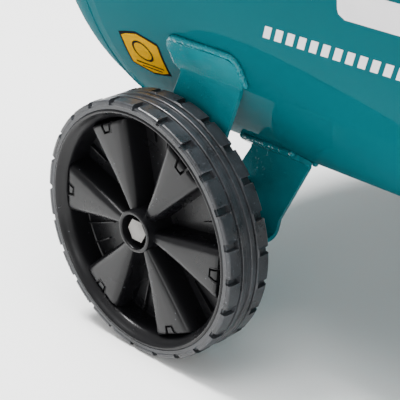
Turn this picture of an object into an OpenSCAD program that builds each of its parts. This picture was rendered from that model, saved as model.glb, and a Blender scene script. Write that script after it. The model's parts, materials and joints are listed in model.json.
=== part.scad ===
// Air compressor: a two-cylinder pump, driven by a belt, on a wheeled tank of about 100 litres.
// +X runs along the tank towards the handle, +Y towards the belt guard and +Z is up.
// The origin lies on the floor under the middle of the whole machine.

/* [Tank] */
// Outside radius of the rolled shell
tank_r = 215; // [179:1:258]
// Length of the shell between its two head seams
shell_len = 565; // [540:1:700]
// Depth of each dished head beyond its seam
head_depth = 120; // [90:1:150]
// Steel thickness of the shell and the heads
tank_t = 3.5; // [2.5:0.5:5]
// Length of the head's skirt inside the shell
skirt_len = 16; // [8:1:30]
// Height of the tank's underside above the wheel axle
axle_under = 5.5; // [4:0.5:30]

/* [Wheels] */
// Outside radius of the tyre
tyre_r = 100; // [90:1:120]
// Width of the tyre
tyre_w = 40.4; // [34:0.2:50]
// Radius where the tyre meets the rim's lip
lip_r = 92.6; // [84:0.2:112]
// Distance that a wheel's outer face stands out beyond the tank's side
wheel_out = 23.1; // [20:0.1:40]
// Distance from the wheel-end seam to the axle line, along the tank
axle_inset = 89.4; // [70:0.2:140]
// Radius of the steel sleeve that the wheel turns on
sleeve_r = 8; // [7:0.1:9.6]
// Radial clearance of the wheel on its sleeve
run_gap = 0.06; // [0.02:0.01:0.1]
// Radius of the hub's cup
hub_r = 16.4; // [15:0.1:20]
// Number of raised spokes in the rim
spokes = 6; // [5:1:8]

/* [Wheel brackets and foot] */
// Sheet thickness of the welded brackets
sheet_t = 4; // [3:0.5:5]
// Gap from the wheel's inner edge to the bracket
bracket_gap = 6.3; // [5:0.1:10]
// Distance between the two legs of a wheel bracket
leg_gap = 70; // [60:1:90]
// Width of a bracket leg along the tank
leg_w = 60; // [50:1:72]
// Radius of a rubber foot
foot_r = 21; // [16:1:28]
// Height of a rubber foot
foot_h = 26; // [18:1:34]
// Distance between the two rubber feet
foot_span = 250; // [200:1:300]

/* [Platform] */
// Length of the platform that carries the pump and the motor
plate_len = 510; // [480:1:560]
// Width of the platform
plate_w = 240; // [230:1:256]
// Height of the platform's top above the tank's top
plate_rise = 29.5; // [26:0.5:50]

/* [Pump] */
// Distance from the pump's crank axis to the tank's middle
pump_off = 115; // [105:1:130]
// Height of the crank axis above the platform
crank_rise = 90; // [86:1:110]
// Radius of the cylinder bores
bore_r = 32; // [30:0.2:38.4]
// Half of the piston stroke
throw_r = 18; // [14:1:19]
// Length of a connecting rod between its two eyes
rod_len = 85; // [82:1:100]
// Distance from one cylinder axis to the other
bore_pitch = 84; // [80:1:96]
// Outside radius of the flywheel
fly_r = 130; // [115:1:140]
// Width of the flywheel's rim
fly_w = 36; // [30:1:40]

/* [Motor] */
// Distance from the motor's axis to the tank's middle
motor_off = 150; // [145:1:165]
// Height of the motor's axis above the platform
motor_rise = 80; // [78:1:90]
// Outside radius of the motor's finned frame
motor_r = 75; // [68:1:77]
// Outside radius of the motor pulley
pulley_r = 55; // [45:1:60]
// Depth of the V-belt, and how far it sits below both rims
belt_d = 9; // [7:0.5:11]
// Radius of the motor shaft
shaft_r = 9.5; // [8:0.5:12]

/* [Belt guard] */
// Space between the flywheel and the guard's rim
guard_gap = 14; // [8:1:20]
// Distance from the tank's middle plane to the flywheel's middle plane
belt_y = 150; // [146:1:156]

/* [Air fittings] */
// Distance from the tank's middle plane to the row of air fittings
fit_y = 150; // [145:1:160]
// Outside radius of the copper delivery pipe
pipe_r = 7; // [6:0.5:9]
// Radius of a pressure gauge's case
gauge_r = 25; // [20:1:30]
// Radius of the plug socket in the quick coupler
socket_r = 5; // [4.5:0.1:6]
// Depth of the plug socket in the quick coupler
socket_len = 22; // [18:1:28]

/* [Handle] */
// Radius of the handle tube
handle_r = 12.5; // [10:0.5:16]
// Reach of the handle beyond the tank's end
handle_reach = 72.5; // [60:0.5:110]
// Distance from the tank's middle plane to each handle arm
arm_y = 150; // [130:1:165]
// Thickness of the foam grip on the handle
grip_t = 2.5; // [2:0.5:5]

/* [Hidden] */
$fn = 64;

// Finishes
PAINT = "#11777F";
BLACK = "#222428";
RUBBER = "#2B2C2E";
ZINC = "#B9BDC0";
CAST = "#3A3D40";
ALLOY = "#B4B7B9";
BRASS = "#C2A052";
COPPER = "#B8734A";
GLASS = "#D8E4E2";
RED = "#B3272A";
STEEL = "#8D9194";
LAMINATION = "#6E7275";

// Places worked out from the driving sizes
tank_x = -handle_reach / 2;
tank_z = tyre_r + axle_under + tank_r;
wheel_seam_x = tank_x - shell_len / 2;
axle_x = wheel_seam_x + axle_inset;
head_r = tank_r - tank_t;
tank_top = tank_z + tank_r;
deck_z = tank_top + plate_rise;
wheel_y = -tank_r - wheel_out;
leg_y = wheel_y + tyre_w + bracket_gap;
far_leg_y = leg_y + leg_gap + sheet_t;
foot_inset = 83;
foot_x = tank_x + shell_len / 2 - foot_inset;
pump_x = tank_x - pump_off;
crank_z = deck_z + crank_rise;
motor_x = tank_x + motor_off;
motor_z = deck_z + motor_rise;
pin_z = crank_z + throw_r;
eye_z = pin_z + rod_len;
crown_h = 22;
crown_z = eye_z + crown_h;
case_rise = 72;
block_z = crank_z + case_rise;
crown_gap = 2;
plate_z = crown_z + crown_gap;
valve_plate_t = 6;
head_z = plate_z + valve_plate_t;
head_h = 40;
head_w = 112;
block_wall = 8;
block_half_y = bore_pitch / 2 + bore_r + block_wall;
case_step = 4;
case_half_y = block_half_y - case_step;
pipe_off = 20;
pipe_x = pump_x - pipe_off;
port_rise = 20;
port_z = head_z + port_rise;
pipe_z = port_z;
pipe_bend = 28;
switch_off = 30;
switch_x = tank_x - switch_off;
boss_r = 17;
port_r = 8;
boss_stand = 1;
boss_top = tank_z + sqrt(pow(tank_r, 2) - pow(fit_y - boss_r - boss_stand, 2)) + boss_stand;
manifold_rise = 30;
fit_z = boss_top + manifold_rise;
gauge_clear = 5;
switch_z = fit_z + gauge_r + gauge_clear;
regulator_off = 58;
regulator_x = switch_x + regulator_off;
coupler_off = 22;
coupler_x = regulator_x + coupler_off;
drain_off = 105;
drain_x = tank_x + drain_off;
weld_sink = 1;
handle_z = tank_z + sqrt(pow(tank_r + sheet_t + handle_r - weld_sink, 2) - arm_y * arm_y);
bar_x = tank_x + shell_len / 2 + head_depth + handle_reach - handle_r - grip_t;
handle_bend = 40;
guard_r1 = fly_r + guard_gap;
guard_r2 = pulley_r + guard_gap;
guard_y = plate_w / 2;
guard_t = 1.6;
guard_depth = belt_y + fly_w / 2 + guard_gap - guard_y;
lead_r = 3.8;
lead_off = 22;
lead_x = motor_x - motor_r - lead_off;
lead_z = motor_z + motor_r + lead_off;
box_x = 58;

// Common fasteners: M8 bolts and their holes, and the overshoot of every cut
m8_r = 4;
m8_hole_r = 4.2;
m8_af = 13;
m8_nut_h = 6.5;
cut = 1;

// Stations of the wheel hub, from the wheel's outer face inwards
cup_depth = 12;
cup_gap = 0.3;
seat_d = cup_depth - cup_gap;
flange_t = 2;
bolt_head_t = 6.4;
bolt_r = 5;
nut_t = 8;

// Turn children so that their +Z lies along +X, or along +Y
module along_x(x, y, z) { translate([x, y, z]) rotate([0, 90, 0]) children(); }
module along_y(x, y, z) { translate([x, y, z]) rotate([-90, 0, 0]) children(); }

// Round bar with a bore
module tube(r, bore, h) {
    difference() {
        cylinder(r = r, h = h);
        translate([0, 0, -1]) cylinder(r = bore, h = h + 2);
    }
}

// Solid or hollow hexagon prism, by its width across flats
module hex(af, h) { cylinder(r = af / sqrt(3), h = h, $fn = 6); }

// Flat plate with round corners in the XY plane
module round_plate(x, y, t, r) {
    linear_extrude(height = t) union() {
        square([x - 2 * r, y], center = true);
        square([x, y - 2 * r], center = true);
        for (i = [-1, 1], j = [-1, 1]) translate([i * (x / 2 - r), j * (y / 2 - r)]) circle(r = r);
    }
}

// Quarter of a bent round bar, from +X round to +Y, about the bend's centre
module quarter_bend(bend, r) {
    rotate_extrude(angle = 90) translate([bend, 0]) circle(r = r);
}

module at_front_and_rear() {
    children();
    mirror([0, 1, 0]) children();
}

// ---- Tank ----

module tank_round(r, len) { along_x(tank_x - len / 2, 0, tank_z) cylinder(r = r, h = len, $fn = 128); }

boss_root = tank_z + sqrt(pow(tank_r, 2) - pow(fit_y + boss_r, 2)) - tank_t;
module tank_shell() {
    color(PAINT) difference() {
        union() {
            tank_round(tank_r, shell_len);
            for (x = [pipe_x, switch_x]) translate([x, -fit_y, boss_root])
                cylinder(r = boss_r, h = boss_top - boss_root);
            translate([drain_x, 0, tank_z - tank_r - drain_boss]) cylinder(r = boss_r, h = 2 * drain_boss);
        }
        tank_round(head_r, shell_len + 2);
        for (x = [pipe_x, switch_x]) translate([x, -fit_y, boss_root - 40])
            cylinder(r = port_r, h = boss_top - boss_root + 41);
        translate([drain_x, 0, tank_z - tank_r - 20]) cylinder(r = port_r, h = 40);
    }
}

function dome(r, d, n) = [for (i = [0 : n]) [r * cos(90 * i / n), d * sin(90 * i / n)]];
function undome(r, d, n) = [for (i = [n : -1 : 0]) [r * cos(90 * i / n), d * sin(90 * i / n)]];
plug_r = 10.5;
plug_boss_r = 19;
plug_boss_in = 13;
plug_boss_out = 4;
plug_len = 16;
plug_af = 27;
plug_head_h = 10;
dome_steps = 20;
module dished_head(plugged) {
    inner = head_r - tank_t;
    difference() {
        union() {
            rotate_extrude($fn = 128) polygon(concat(
                [[inner, -skirt_len], [head_r, -skirt_len]],
                dome(head_r, head_depth, dome_steps),
                undome(inner, head_depth - tank_t, dome_steps)));
            if (plugged) translate([0, 0, head_depth - plug_boss_in])
                cylinder(r = plug_boss_r, h = plug_boss_in + plug_boss_out);
        }
        if (plugged) translate([0, 0, head_depth - 30]) cylinder(r = plug_r, h = 60);
    }
}
module wheel_end_head() {
    color(PAINT) translate([wheel_seam_x, 0, tank_z]) rotate([0, -90, 0]) dished_head(false);
}
module handle_end_head() {
    color(PAINT) along_x(wheel_seam_x + shell_len, 0, tank_z) dished_head(true);
}
module tank_plug() {
    color(ZINC) along_x(wheel_seam_x + shell_len + head_depth + plug_boss_out, 0, tank_z) {
        translate([0, 0, -plug_len]) cylinder(r = plug_r, h = plug_len);
        hex(plug_af, plug_head_h);
    }
}

// ---- Wheel brackets, foot and saddles ----

flange_w = 68;
flange_top = tank_z - (tank_r + sheet_t) * sin(21.5);
fold_x = 2;
lean = 29;
leg_drop = 38;
near_knee = 38;
far_knee = -20;
axle_hole_gap = 0.4;
// Outline of a leg, from its own top edge down to the bottom fold, about the axle line
module leg_outline(top, knee) {
    polygon([[fold_x, top], [fold_x + leg_w, top], [fold_x + leg_w - lean, knee],
        [leg_w / 2 - 1, -leg_drop], [-leg_w / 2 - 2, -leg_drop], [fold_x - lean - 6, knee]]);
}
module leg_plate(y, top, knee) {
    translate([axle_x, y + sheet_t, tyre_r]) rotate([90, 0, 0]) difference() {
        linear_extrude(height = sheet_t) leg_outline(top, knee);
        translate([0, 0, -cut]) cylinder(r = bolt_r + axle_hole_gap, h = sheet_t + 2 * cut);
    }
}
// Sheet lying on the tank between two heights
module tank_flange(x0, len, y0, y1, z0, z1) {
    intersection() {
        along_x(x0, 0, tank_z) tube(tank_r + sheet_t, tank_r, len);
        translate([x0 - 1, y0, z0]) cube([len + 2, y1 - y0, z1 - z0]);
    }
}
leg_bite = 6;
flange_drop = 9;
far_flange_y = 13;
far_flange_h = 20;
module wheel_bracket() {
    near_top = tank_z - sqrt(tank_r * tank_r - leg_y * leg_y) - tyre_r;
    far_top = tank_z - sqrt(tank_r * tank_r - far_leg_y * far_leg_y) - tyre_r;
    difference() {
        union() {
            leg_plate(leg_y, near_top + leg_bite, near_knee);
            leg_plate(far_leg_y, far_top + leg_bite, far_knee);
            translate([axle_x - leg_w / 2 - 2, leg_y, tyre_r - leg_drop])
                cube([leg_w + 1, far_leg_y + sheet_t - leg_y, sheet_t]);
        }
        tank_round(tank_r, shell_len);
    }
    tank_flange(axle_x + fold_x - 3, flange_w, -tank_r - 10, leg_y + sheet_t, tyre_r + near_top - flange_drop,
        flange_top);
    tank_flange(axle_x + fold_x, leg_w - 2, far_leg_y - far_flange_y, far_leg_y + sheet_t,
        tyre_r + far_top - flange_drop, tyre_r + far_top + far_flange_h);
}
module front_wheel_bracket() { color(PAINT) wheel_bracket(); }
module rear_wheel_bracket() { color(PAINT) mirror([0, 1, 0]) wheel_bracket(); }

foot_bracket_w = 60;
foot_half_y = foot_span / 2 + foot_r + 4;
// Height of the bracket's arms, a little above where the tank's round side meets them
arm_bite = 24;
foot_arm_z = tank_z - sqrt(pow(tank_r, 2) - pow(foot_half_y, 2)) + arm_bite;
module foot_bracket() {
    color(PAINT) translate([foot_x - foot_bracket_w / 2, 0, 0]) rotate([90, 0, 90]) difference() {
        linear_extrude(height = foot_bracket_w) difference() {
            translate([-foot_half_y, foot_h]) square([2 * foot_half_y, tank_z - foot_h]);
            translate([0, tank_z]) circle(r = tank_r, $fn = 128);
            translate([-foot_half_y + sheet_t, foot_h + sheet_t])
                square([2 * (foot_half_y - sheet_t), tank_z]);
            translate([-foot_half_y - 1, foot_arm_z]) square([2 * foot_half_y + 2, tank_z]);
        }
        for (i = [-1, 1]) translate([i * foot_span / 2, 0, foot_bracket_w / 2])
            rotate([-90, 0, 0]) cylinder(r = m8_hole_r, h = foot_h + 20);
    }
}
foot_taper = 2;
foot_hollow_r = 8;
foot_hollow_h = 8;
foot_button_r = 9;
foot_button_h = 4;
module rubber_feet() {
    color(RUBBER) for (i = [-1, 1]) translate([foot_x, i * foot_span / 2, 0]) {
        difference() {
            cylinder(r1 = foot_r - foot_taper, r2 = foot_r, h = foot_h);
            translate([0, 0, -cut]) cylinder(r = foot_hollow_r, h = foot_hollow_h + cut);
        }
        translate([0, 0, foot_h - 1]) cylinder(r = m8_hole_r, h = sheet_t + 1);
        translate([0, 0, foot_h + sheet_t]) cylinder(r = foot_button_r, h = foot_button_h);
    }
}

saddle_w = 50;
saddle_inset_x = 50;
saddle_inset_y = 22;
saddle_x = plate_len / 2 - saddle_inset_x;
saddle_y = plate_w / 2 - saddle_inset_y;
// Four legs that stand on the shell and carry the platform
module saddle_legs() {
    for (i = [-1, 1]) translate([tank_x + i * saddle_x - saddle_w / 2, 0, 0])
        rotate([90, 0, 90]) linear_extrude(height = saddle_w) difference() {
            for (j = [-1, 1]) translate([j * saddle_y - sheet_t / 2, tank_z])
                square([sheet_t, deck_z - tank_z - sheet_t / 2]);
            translate([0, tank_z]) circle(r = tank_r, $fn = 128);
        }
}
plate_lip = 22;
pump_foot_x = 58;
pump_foot_inset = 14;
pump_foot_y = case_half_y - pump_foot_inset;
motor_foot_x = 62;
motor_foot_y = 40;
motor_foot_mid = -25;
plate_corner_r = 14;
lip_inset = 20;
module foot_holes(r, h) {
    for (i = [-1, 1], j = [-1, 1]) {
        translate([pump_x + i * pump_foot_x, j * pump_foot_y, deck_z - h / 2]) cylinder(r = r, h = h);
        translate([motor_x + i * motor_foot_x, j * motor_foot_y + motor_foot_mid, deck_z - h / 2])
            cylinder(r = r, h = h);
    }
}
module platform() {
    color(PAINT) difference() {
        union() {
            translate([tank_x, 0, deck_z - sheet_t]) round_plate(plate_len, plate_w, sheet_t, plate_corner_r);
            for (i = [-1, 1]) translate([tank_x - plate_len / 2 + lip_inset,
                i * (plate_w - sheet_t) / 2 - sheet_t / 2, deck_z - plate_lip])
                cube([plate_len - 2 * lip_inset, sheet_t, plate_lip - 1]);
            saddle_legs();
        }
        foot_holes(m8_hole_r, 40);
    }
}
module foot_bolts() {
    for (i = [-1, 1], j = [-1, 1]) {
        translate([pump_x + i * pump_foot_x, j * pump_foot_y, deck_z]) foot_bolt();
        translate([motor_x + i * motor_foot_x, j * motor_foot_y + motor_foot_mid, deck_z]) foot_bolt();
    }
}
foot_t = 12;
shank_under = 8;
washer_r = 8;
washer_t = 1.6;
bolt_head_h = 5.3;
module foot_bolt() {
    translate([0, 0, -sheet_t - shank_under]) cylinder(r = m8_r, h = foot_t + sheet_t + shank_under);
    translate([0, 0, foot_t]) cylinder(r = washer_r, h = washer_t);
    translate([0, 0, foot_t + washer_t]) hex(m8_af, bolt_head_h);
    translate([0, 0, -sheet_t - m8_nut_h]) hex(m8_af, m8_nut_h);
}

// ---- Handle ----

arm_overlap = 95;
arm_start = tank_x + shell_len / 2 - arm_overlap;
handle_t = 2;
module handle_path(r) {
    for (i = [0, 1]) mirror([0, i, 0]) {
        along_x(arm_start, arm_y, handle_z) cylinder(r = r, h = bar_x - handle_bend - arm_start);
        translate([bar_x - handle_bend, arm_y - handle_bend, handle_z]) quarter_bend(handle_bend, r);
        along_y(bar_x, 0, handle_z) cylinder(r = r, h = arm_y - handle_bend);
    }
}
pad_w = 36;
pad_len = 70;
pad_inset = 10;
grip_inset = 8;
module handle_tube() {
    seat_y = arm_y * (tank_r + sheet_t) / (tank_r + sheet_t + handle_r);
    color(PAINT) {
        difference() {
            handle_path(handle_r);
            handle_path(handle_r - handle_t);
        }
        at_front_and_rear() tank_flange(arm_start + pad_inset, pad_len, seat_y - pad_w / 2,
            seat_y + pad_w / 2, tank_z, tank_top + sheet_t);
    }
}
module handle_grip() {
    color(RUBBER) along_y(bar_x, -arm_y + handle_bend + grip_inset, handle_z)
        tube(handle_r + grip_t, handle_r, 2 * (arm_y - handle_bend - grip_inset));
}

// ---- Drain ----

drain_len = 34;
drain_boss = 6;
drain_pipe_r = 7;
drain_bore_r = 4;
drain_ball_r = 12;
drain_ball_z = 10;
drain_stem_r = 5.5;
drain_stem_len = 17;
drain_af = 22;
drain_hex_h = 9;
module drain_valve() {
    top = tank_z - tank_r - drain_boss;
    color(BRASS) translate([drain_x, 0, top - drain_len]) difference() {
        union() {
            cylinder(r = drain_pipe_r, h = drain_len + 2 * drain_boss);
            translate([0, 0, drain_ball_z]) sphere(r = drain_ball_r);
            translate([0, 0, drain_len - drain_hex_h]) hex(drain_af, drain_hex_h);
            along_y(0, 0, drain_ball_z) cylinder(r = drain_stem_r, h = drain_stem_len);
        }
        translate([0, 0, -3 * cut]) cylinder(r = drain_bore_r, h = drain_len + 20);
    }
}
lever_gap = 0.2;
lever_r = 7;
lever_t = 4;
lever_len = 48;
module drain_lever() {
    z = tank_z - tank_r - drain_boss - drain_len + drain_ball_z;
    color(RED) along_y(drain_x, drain_stem_len + lever_gap, z) {
        cylinder(r = lever_r + 0.5, h = lever_t);
        translate([0, -lever_r, 0]) cube([lever_len, 2 * lever_r, lever_t]);
        translate([lever_len, 0, 0]) cylinder(r = lever_r, h = lever_t);
    }
}

// ---- Wheels ----

web_d = 24;
barrel_r = lip_r - 8.4;
spoke_d = 6;
// Turned section, each point at a radius and a distance from the wheel's outer face inwards
module turned(points) { rotate_extrude($fn = 96) polygon(points); }
module tyre() {
    groove = 1.6;
    turned([[lip_r, 0.6], [tyre_r - 1.2, 0], [tyre_r, 1.2], [tyre_r, 14], [tyre_r - groove, 14.4],
        [tyre_r - groove, 15.6], [tyre_r - 0.4, 16], [tyre_r - 0.4, 19], [tyre_r - groove, 19.4],
        [tyre_r - groove, tyre_w - 19.4], [tyre_r - 0.4, tyre_w - 19], [tyre_r - 0.4, tyre_w - 16],
        [tyre_r - groove, tyre_w - 15.6], [tyre_r - groove, tyre_w - 14.4], [tyre_r, tyre_w - 14],
        [tyre_r, tyre_w - 1.2], [tyre_r - 1.2, tyre_w], [lip_r, tyre_w - 0.6],
        [lip_r, tyre_w - 6], [lip_r - 4.5, tyre_w - 8], [lip_r - 4.5, 8], [lip_r, 6]]);
}
module spoke_wedge(i) {
    half = 15;
    rotate(i * 360 / spokes - 5) polygon([[hub_r - 3, -3.5], [barrel_r + 1, -(barrel_r + 1) * tan(half)],
        [barrel_r + 1, (barrel_r + 1) * tan(half)], [hub_r - 3, 3.5]]);
}
module rim() {
    hub_end = tyre_w + bracket_gap - 1.2;
    difference() {
        union() {
            turned([[lip_r, 0.6], [lip_r, 6], [lip_r - 4.5, 8], [lip_r - 4.5, tyre_w - 8],
                [lip_r, tyre_w - 6], [lip_r, tyre_w - 0.6], [lip_r - 3, tyre_w - 0.6],
                [barrel_r, tyre_w - 9], [barrel_r, 9], [lip_r - 3, 0.6]]);
            translate([0, 0, web_d]) cylinder(r = barrel_r + 1, h = 4);
            cylinder(r = hub_r, h = hub_end);
            intersection() {
                translate([0, 0, spoke_d]) linear_extrude(height = web_d - spoke_d + 1)
                    for (i = [0 : spokes - 1]) spoke_wedge(i);
                cylinder(r = barrel_r + 1, h = tyre_w);
            }
        }
        translate([0, 0, -1]) cylinder(r = hub_r - 3.2, h = cup_depth + 1);
        translate([0, 0, -1]) cylinder(r = sleeve_r + run_gap, h = tyre_w + 20);
    }
}
module at_wheel() { along_y(axle_x, wheel_y, tyre_r) children(); }
module front_tyre() { color(RUBBER) at_wheel() tyre(); }
module front_rim() { color(BLACK) at_wheel() rim(); }
module rear_tyre() { color(RUBBER) mirror([0, 1, 0]) at_wheel() tyre(); }
module rear_rim() { color(BLACK) mirror([0, 1, 0]) at_wheel() rim(); }
module wheel_bolts() {
    shank = far_leg_y + sheet_t + nut_t + 4 - wheel_y - seat_d;
    color(ZINC) at_front_and_rear() at_wheel() {
        translate([0, 0, seat_d]) cylinder(r = bolt_r, h = shank);
        translate([0, 0, seat_d - flange_t]) cylinder(r = hub_r - 4.4, h = flange_t);
        translate([0, 0, seat_d - flange_t - bolt_head_t]) hex(17, bolt_head_t);
    }
}
module wheel_sleeves() {
    color(ZINC) at_front_and_rear() at_wheel() translate([0, 0, seat_d])
        tube(sleeve_r, bolt_r, tyre_w + bracket_gap - seat_d);
}
module wheel_nuts() {
    color(ZINC) at_front_and_rear() along_y(axle_x, far_leg_y + sheet_t, tyre_r) difference() {
        hex(17, nut_t);
        translate([0, 0, -1]) cylinder(r = bolt_r, h = nut_t + 2);
    }
}

// ---- Motor ----

motor_back = -110;
motor_face = 62;
stator_r = motor_r - 9;
rotor_r = 38;
air_gap = 0.6;
shaft_gap = 0.08;
tail_len = 32;
rotor_len = 98;
fins = 28;
fin_w = 2.4;
shell_wall = 4;
fin_margin = 14;
nose_h = 14;
nose_r = 30;
motor_foot_len = 150;
motor_foot_w = 108;
rib_x = 44;
rib_t = 10;
module motor_frame() {
    color(BLACK) difference() {
        union() {
            along_y(motor_x, motor_back, motor_z)
                cylinder(r = stator_r + shell_wall, h = motor_face - motor_back);
            along_y(motor_x, motor_back + fin_margin, motor_z) for (i = [0 : fins - 1])
                rotate(i * 360 / fins) translate([stator_r + shell_wall - 1, -fin_w / 2, 0])
                    cube([motor_r - stator_r - shell_wall + 1, fin_w, motor_face - motor_back - 40]);
            along_y(motor_x, motor_face - 1, motor_z)
                cylinder(r1 = stator_r - 2, r2 = nose_r, h = nose_h);
            translate([motor_x, motor_foot_mid, deck_z])
                round_plate(motor_foot_len, motor_foot_w, foot_t, 6);
            for (i = [-1, 1]) translate([motor_x + i * rib_x - rib_t / 2, -70, deck_z + foot_t - 1])
                cube([rib_t, 90, motor_rise - 50]);
        }
        along_y(motor_x, motor_back - 1, motor_z) cylinder(r = stator_r, h = motor_face - motor_back - 7);
        along_y(motor_x, motor_face - 40, motor_z) cylinder(r = shaft_r + shaft_gap, h = 80);
        foot_holes(m8_hole_r, 60);
    }
}
module stator() {
    color(LAMINATION) along_y(motor_x, motor_back + 30, motor_z)
        tube(stator_r, rotor_r + air_gap, motor_face - motor_back - 70);
}
module rotor_shaft() {
    color(ZINC) along_y(motor_x, motor_back - tail_len, motor_z) {
        cylinder(r = shaft_r, h = belt_y + fly_w / 2 - motor_back + tail_len);
        translate([0, 0, 2 * tail_len]) cylinder(r = rotor_r, h = rotor_len);
    }
}
fan_depth = 52;
cover_wall = 2;
cover_lap = 12;
grille_pitch = 12;
slot_w = 7;
grille_r = 20;
bridge_w = 5;
module fan_cover() {
    color(BLACK) along_y(motor_x, motor_back - fan_depth, motor_z) difference() {
        cylinder(r = stator_r + shell_wall + 2 * cover_wall, h = fan_depth + cover_lap);
        translate([0, 0, cover_wall])
            cylinder(r = stator_r + shell_wall + cover_wall, h = fan_depth - 2 * cover_wall);
        translate([0, 0, fan_depth - 3]) cylinder(r = stator_r + shell_wall, h = 20);
        for (ring = [0 : 3]) difference() {
            translate([0, 0, -cut]) cylinder(r = grille_r + grille_pitch * ring, h = 4);
            translate([0, 0, -2 * cut]) cylinder(r = grille_r - slot_w + grille_pitch * ring, h = 6);
            for (a = [0, 60, 120]) rotate(a) translate([-motor_r - 5, -bridge_w / 2, -2 * cut])
                cube([2 * motor_r + 10, bridge_w, 6]);
        }
    }
}
blades = 7;
fan_hub_r = 18;
fan_r = 56;
fan_h = 22;
fan_back_t = 3;
module cooling_fan() {
    color(BLACK) along_y(motor_x, motor_back - 30, motor_z) difference() {
        union() {
            cylinder(r = fan_hub_r, h = fan_h);
            translate([0, 0, fan_h - fan_back_t]) cylinder(r = fan_r, h = fan_back_t);
            for (i = [0 : blades - 1]) rotate(i * 360 / blades) translate([12, -fin_w / 2, 0])
                cube([fan_r - 12, fin_w, 20]);
        }
        translate([0, 0, -1]) cylinder(r = shaft_r, h = 30);
    }
}
box_h = 50;
box_y = -28;
box_w = 86;
box_wall = 3;
gland_r = 9;
module terminal_box() {
    z = motor_z + motor_r;
    color(BLACK) difference() {
        union() {
            translate([motor_x, box_y, z + box_wall]) round_plate(2 * box_x, box_w, box_h, 10);
            translate([motor_x - 30, box_y - 30, z - 10]) cube([60, 60, 14]);
            along_x(motor_x - box_x - 12, box_y, lead_z) cylinder(r = gland_r, h = 20);
        }
        along_y(motor_x, -90, motor_z) cylinder(r = motor_r, h = 120);
        translate([motor_x, box_y, z + 2 * box_wall])
            round_plate(2 * box_x - 2 * box_wall, box_w - 2 * box_wall, box_h - 2 * box_wall, 8);
        along_x(motor_x - box_x - 20, box_y, lead_z) cylinder(r = lead_r, h = 30);
        translate([motor_x, box_y, z - 20]) cylinder(r = 12, h = 30);
    }
}

// ---- Belt drive ----

belt_w = 10;
belt_gap = 0.5;
module pulley_groove(r) {
    half = belt_w / 2 + belt_gap;
    bottom = r - belt_d - belt_gap;
    rotate_extrude($fn = 96)
        polygon([[r + 1, -half - 1.6], [r + 1, half + 1.6], [bottom, half], [bottom, -half]]);
}
pulley_w = 26;
module motor_pulley() {
    color(CAST) along_y(motor_x, belt_y, motor_z) difference() {
        translate([0, 0, -pulley_w / 2]) cylinder(r = pulley_r, h = pulley_w);
        pulley_groove(pulley_r);
        translate([0, 0, -20]) cylinder(r = shaft_r, h = 40);
    }
}
centres = [motor_x - pump_x, motor_z - crank_z];
span = norm(centres);
tilt = atan2(centres[1], centres[0]);
function arc_points(centre, r, from, to, n) =
    [for (i = [0 : n]) let (a = from + (to - from) * i / n) centre + r * [cos(a), sin(a)]];
// Outline round two circles, the first about the crank and the second about the motor shaft
module belt_outline(r1, r2) {
    open = acos((r1 - r2) / span);
    rotate(tilt) polygon(concat(arc_points([0, 0], r1, open, 360 - open, 40),
        arc_points([span, 0], r2, -open, open, 26)));
}
// Drawn in XZ about the crank axis, and raised along +Y from y
module at_drive(y) { translate([pump_x, y, crank_z]) rotate([90, 0, 0]) mirror([0, 0, 1]) children(); }
module drive_belt() {
    color(RUBBER) at_drive(belt_y - belt_w / 2) linear_extrude(height = belt_w) difference() {
        belt_outline(fly_r - 0.5, pulley_r - 0.5);
        belt_outline(fly_r - belt_d, pulley_r - belt_d);
    }
}
guard_bar = 4.5;
guard_pitch = 11;
guard_frame = 9;
tie_z = 70;
tie_w = 10;
hoop_w = 26;
module guard_front() {
    color(BLACK) {
        at_drive(guard_y + guard_t) linear_extrude(height = guard_depth) difference() {
            belt_outline(guard_r1, guard_r2);
            belt_outline(guard_r1 - guard_t, guard_r2 - guard_t);
        }
        at_drive(guard_y + guard_t + guard_depth) linear_extrude(height = guard_t) {
            difference() {
                belt_outline(guard_r1, guard_r2);
                belt_outline(guard_r1 - guard_frame, guard_r2 - guard_frame);
            }
            intersection() {
                belt_outline(guard_r1 - guard_frame + 0.5, guard_r2 - guard_frame + 0.5);
                for (x = [-guard_r1 : guard_pitch : span + guard_r2])
                    translate([x, -guard_r1]) square([guard_bar, 2 * guard_r1]);
            }
            intersection() {
                belt_outline(guard_r1 - guard_frame + 0.5, guard_r2 - guard_frame + 0.5);
                for (z = [-tie_z, tie_z]) translate([-guard_r1, z - tie_w / 2]) square([2 * span, tie_w]);
            }
        }
    }
}
module guard_back() {
    color(BLACK) at_drive(guard_y) linear_extrude(height = guard_t) difference() {
        belt_outline(guard_r1, guard_r2);
        difference() {
            belt_outline(guard_r1 - hoop_w, guard_r2 - hoop_w);
            translate([-guard_r1, deck_z - crank_z - plate_lip]) square([2 * span, plate_lip + 10]);
        }
    }
}
fly_hub_r = 26;
fly_rim_t = 20;
fly_spokes = 5;
fly_spoke_w = 18;
fly_spoke_t = 14;
module flywheel() {
    color(CAST) along_y(pump_x, belt_y - fly_w / 2, crank_z) difference() {
        union() {
            tube(fly_r, fly_r - fly_rim_t, fly_w);
            cylinder(r = fly_hub_r, h = fly_w);
            for (i = [0 : fly_spokes - 1]) rotate(i * 360 / fly_spokes)
                translate([0, -fly_spoke_w / 2, (fly_w - fly_spoke_t) / 2])
                    cube([fly_r - 16, fly_spoke_w, fly_spoke_t]);
        }
        translate([0, 0, fly_w / 2]) pulley_groove(fly_r);
        translate([0, 0, -1]) cylinder(r = journal_r, h = fly_w + 2);
    }
}

// ---- Pump ----

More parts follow.
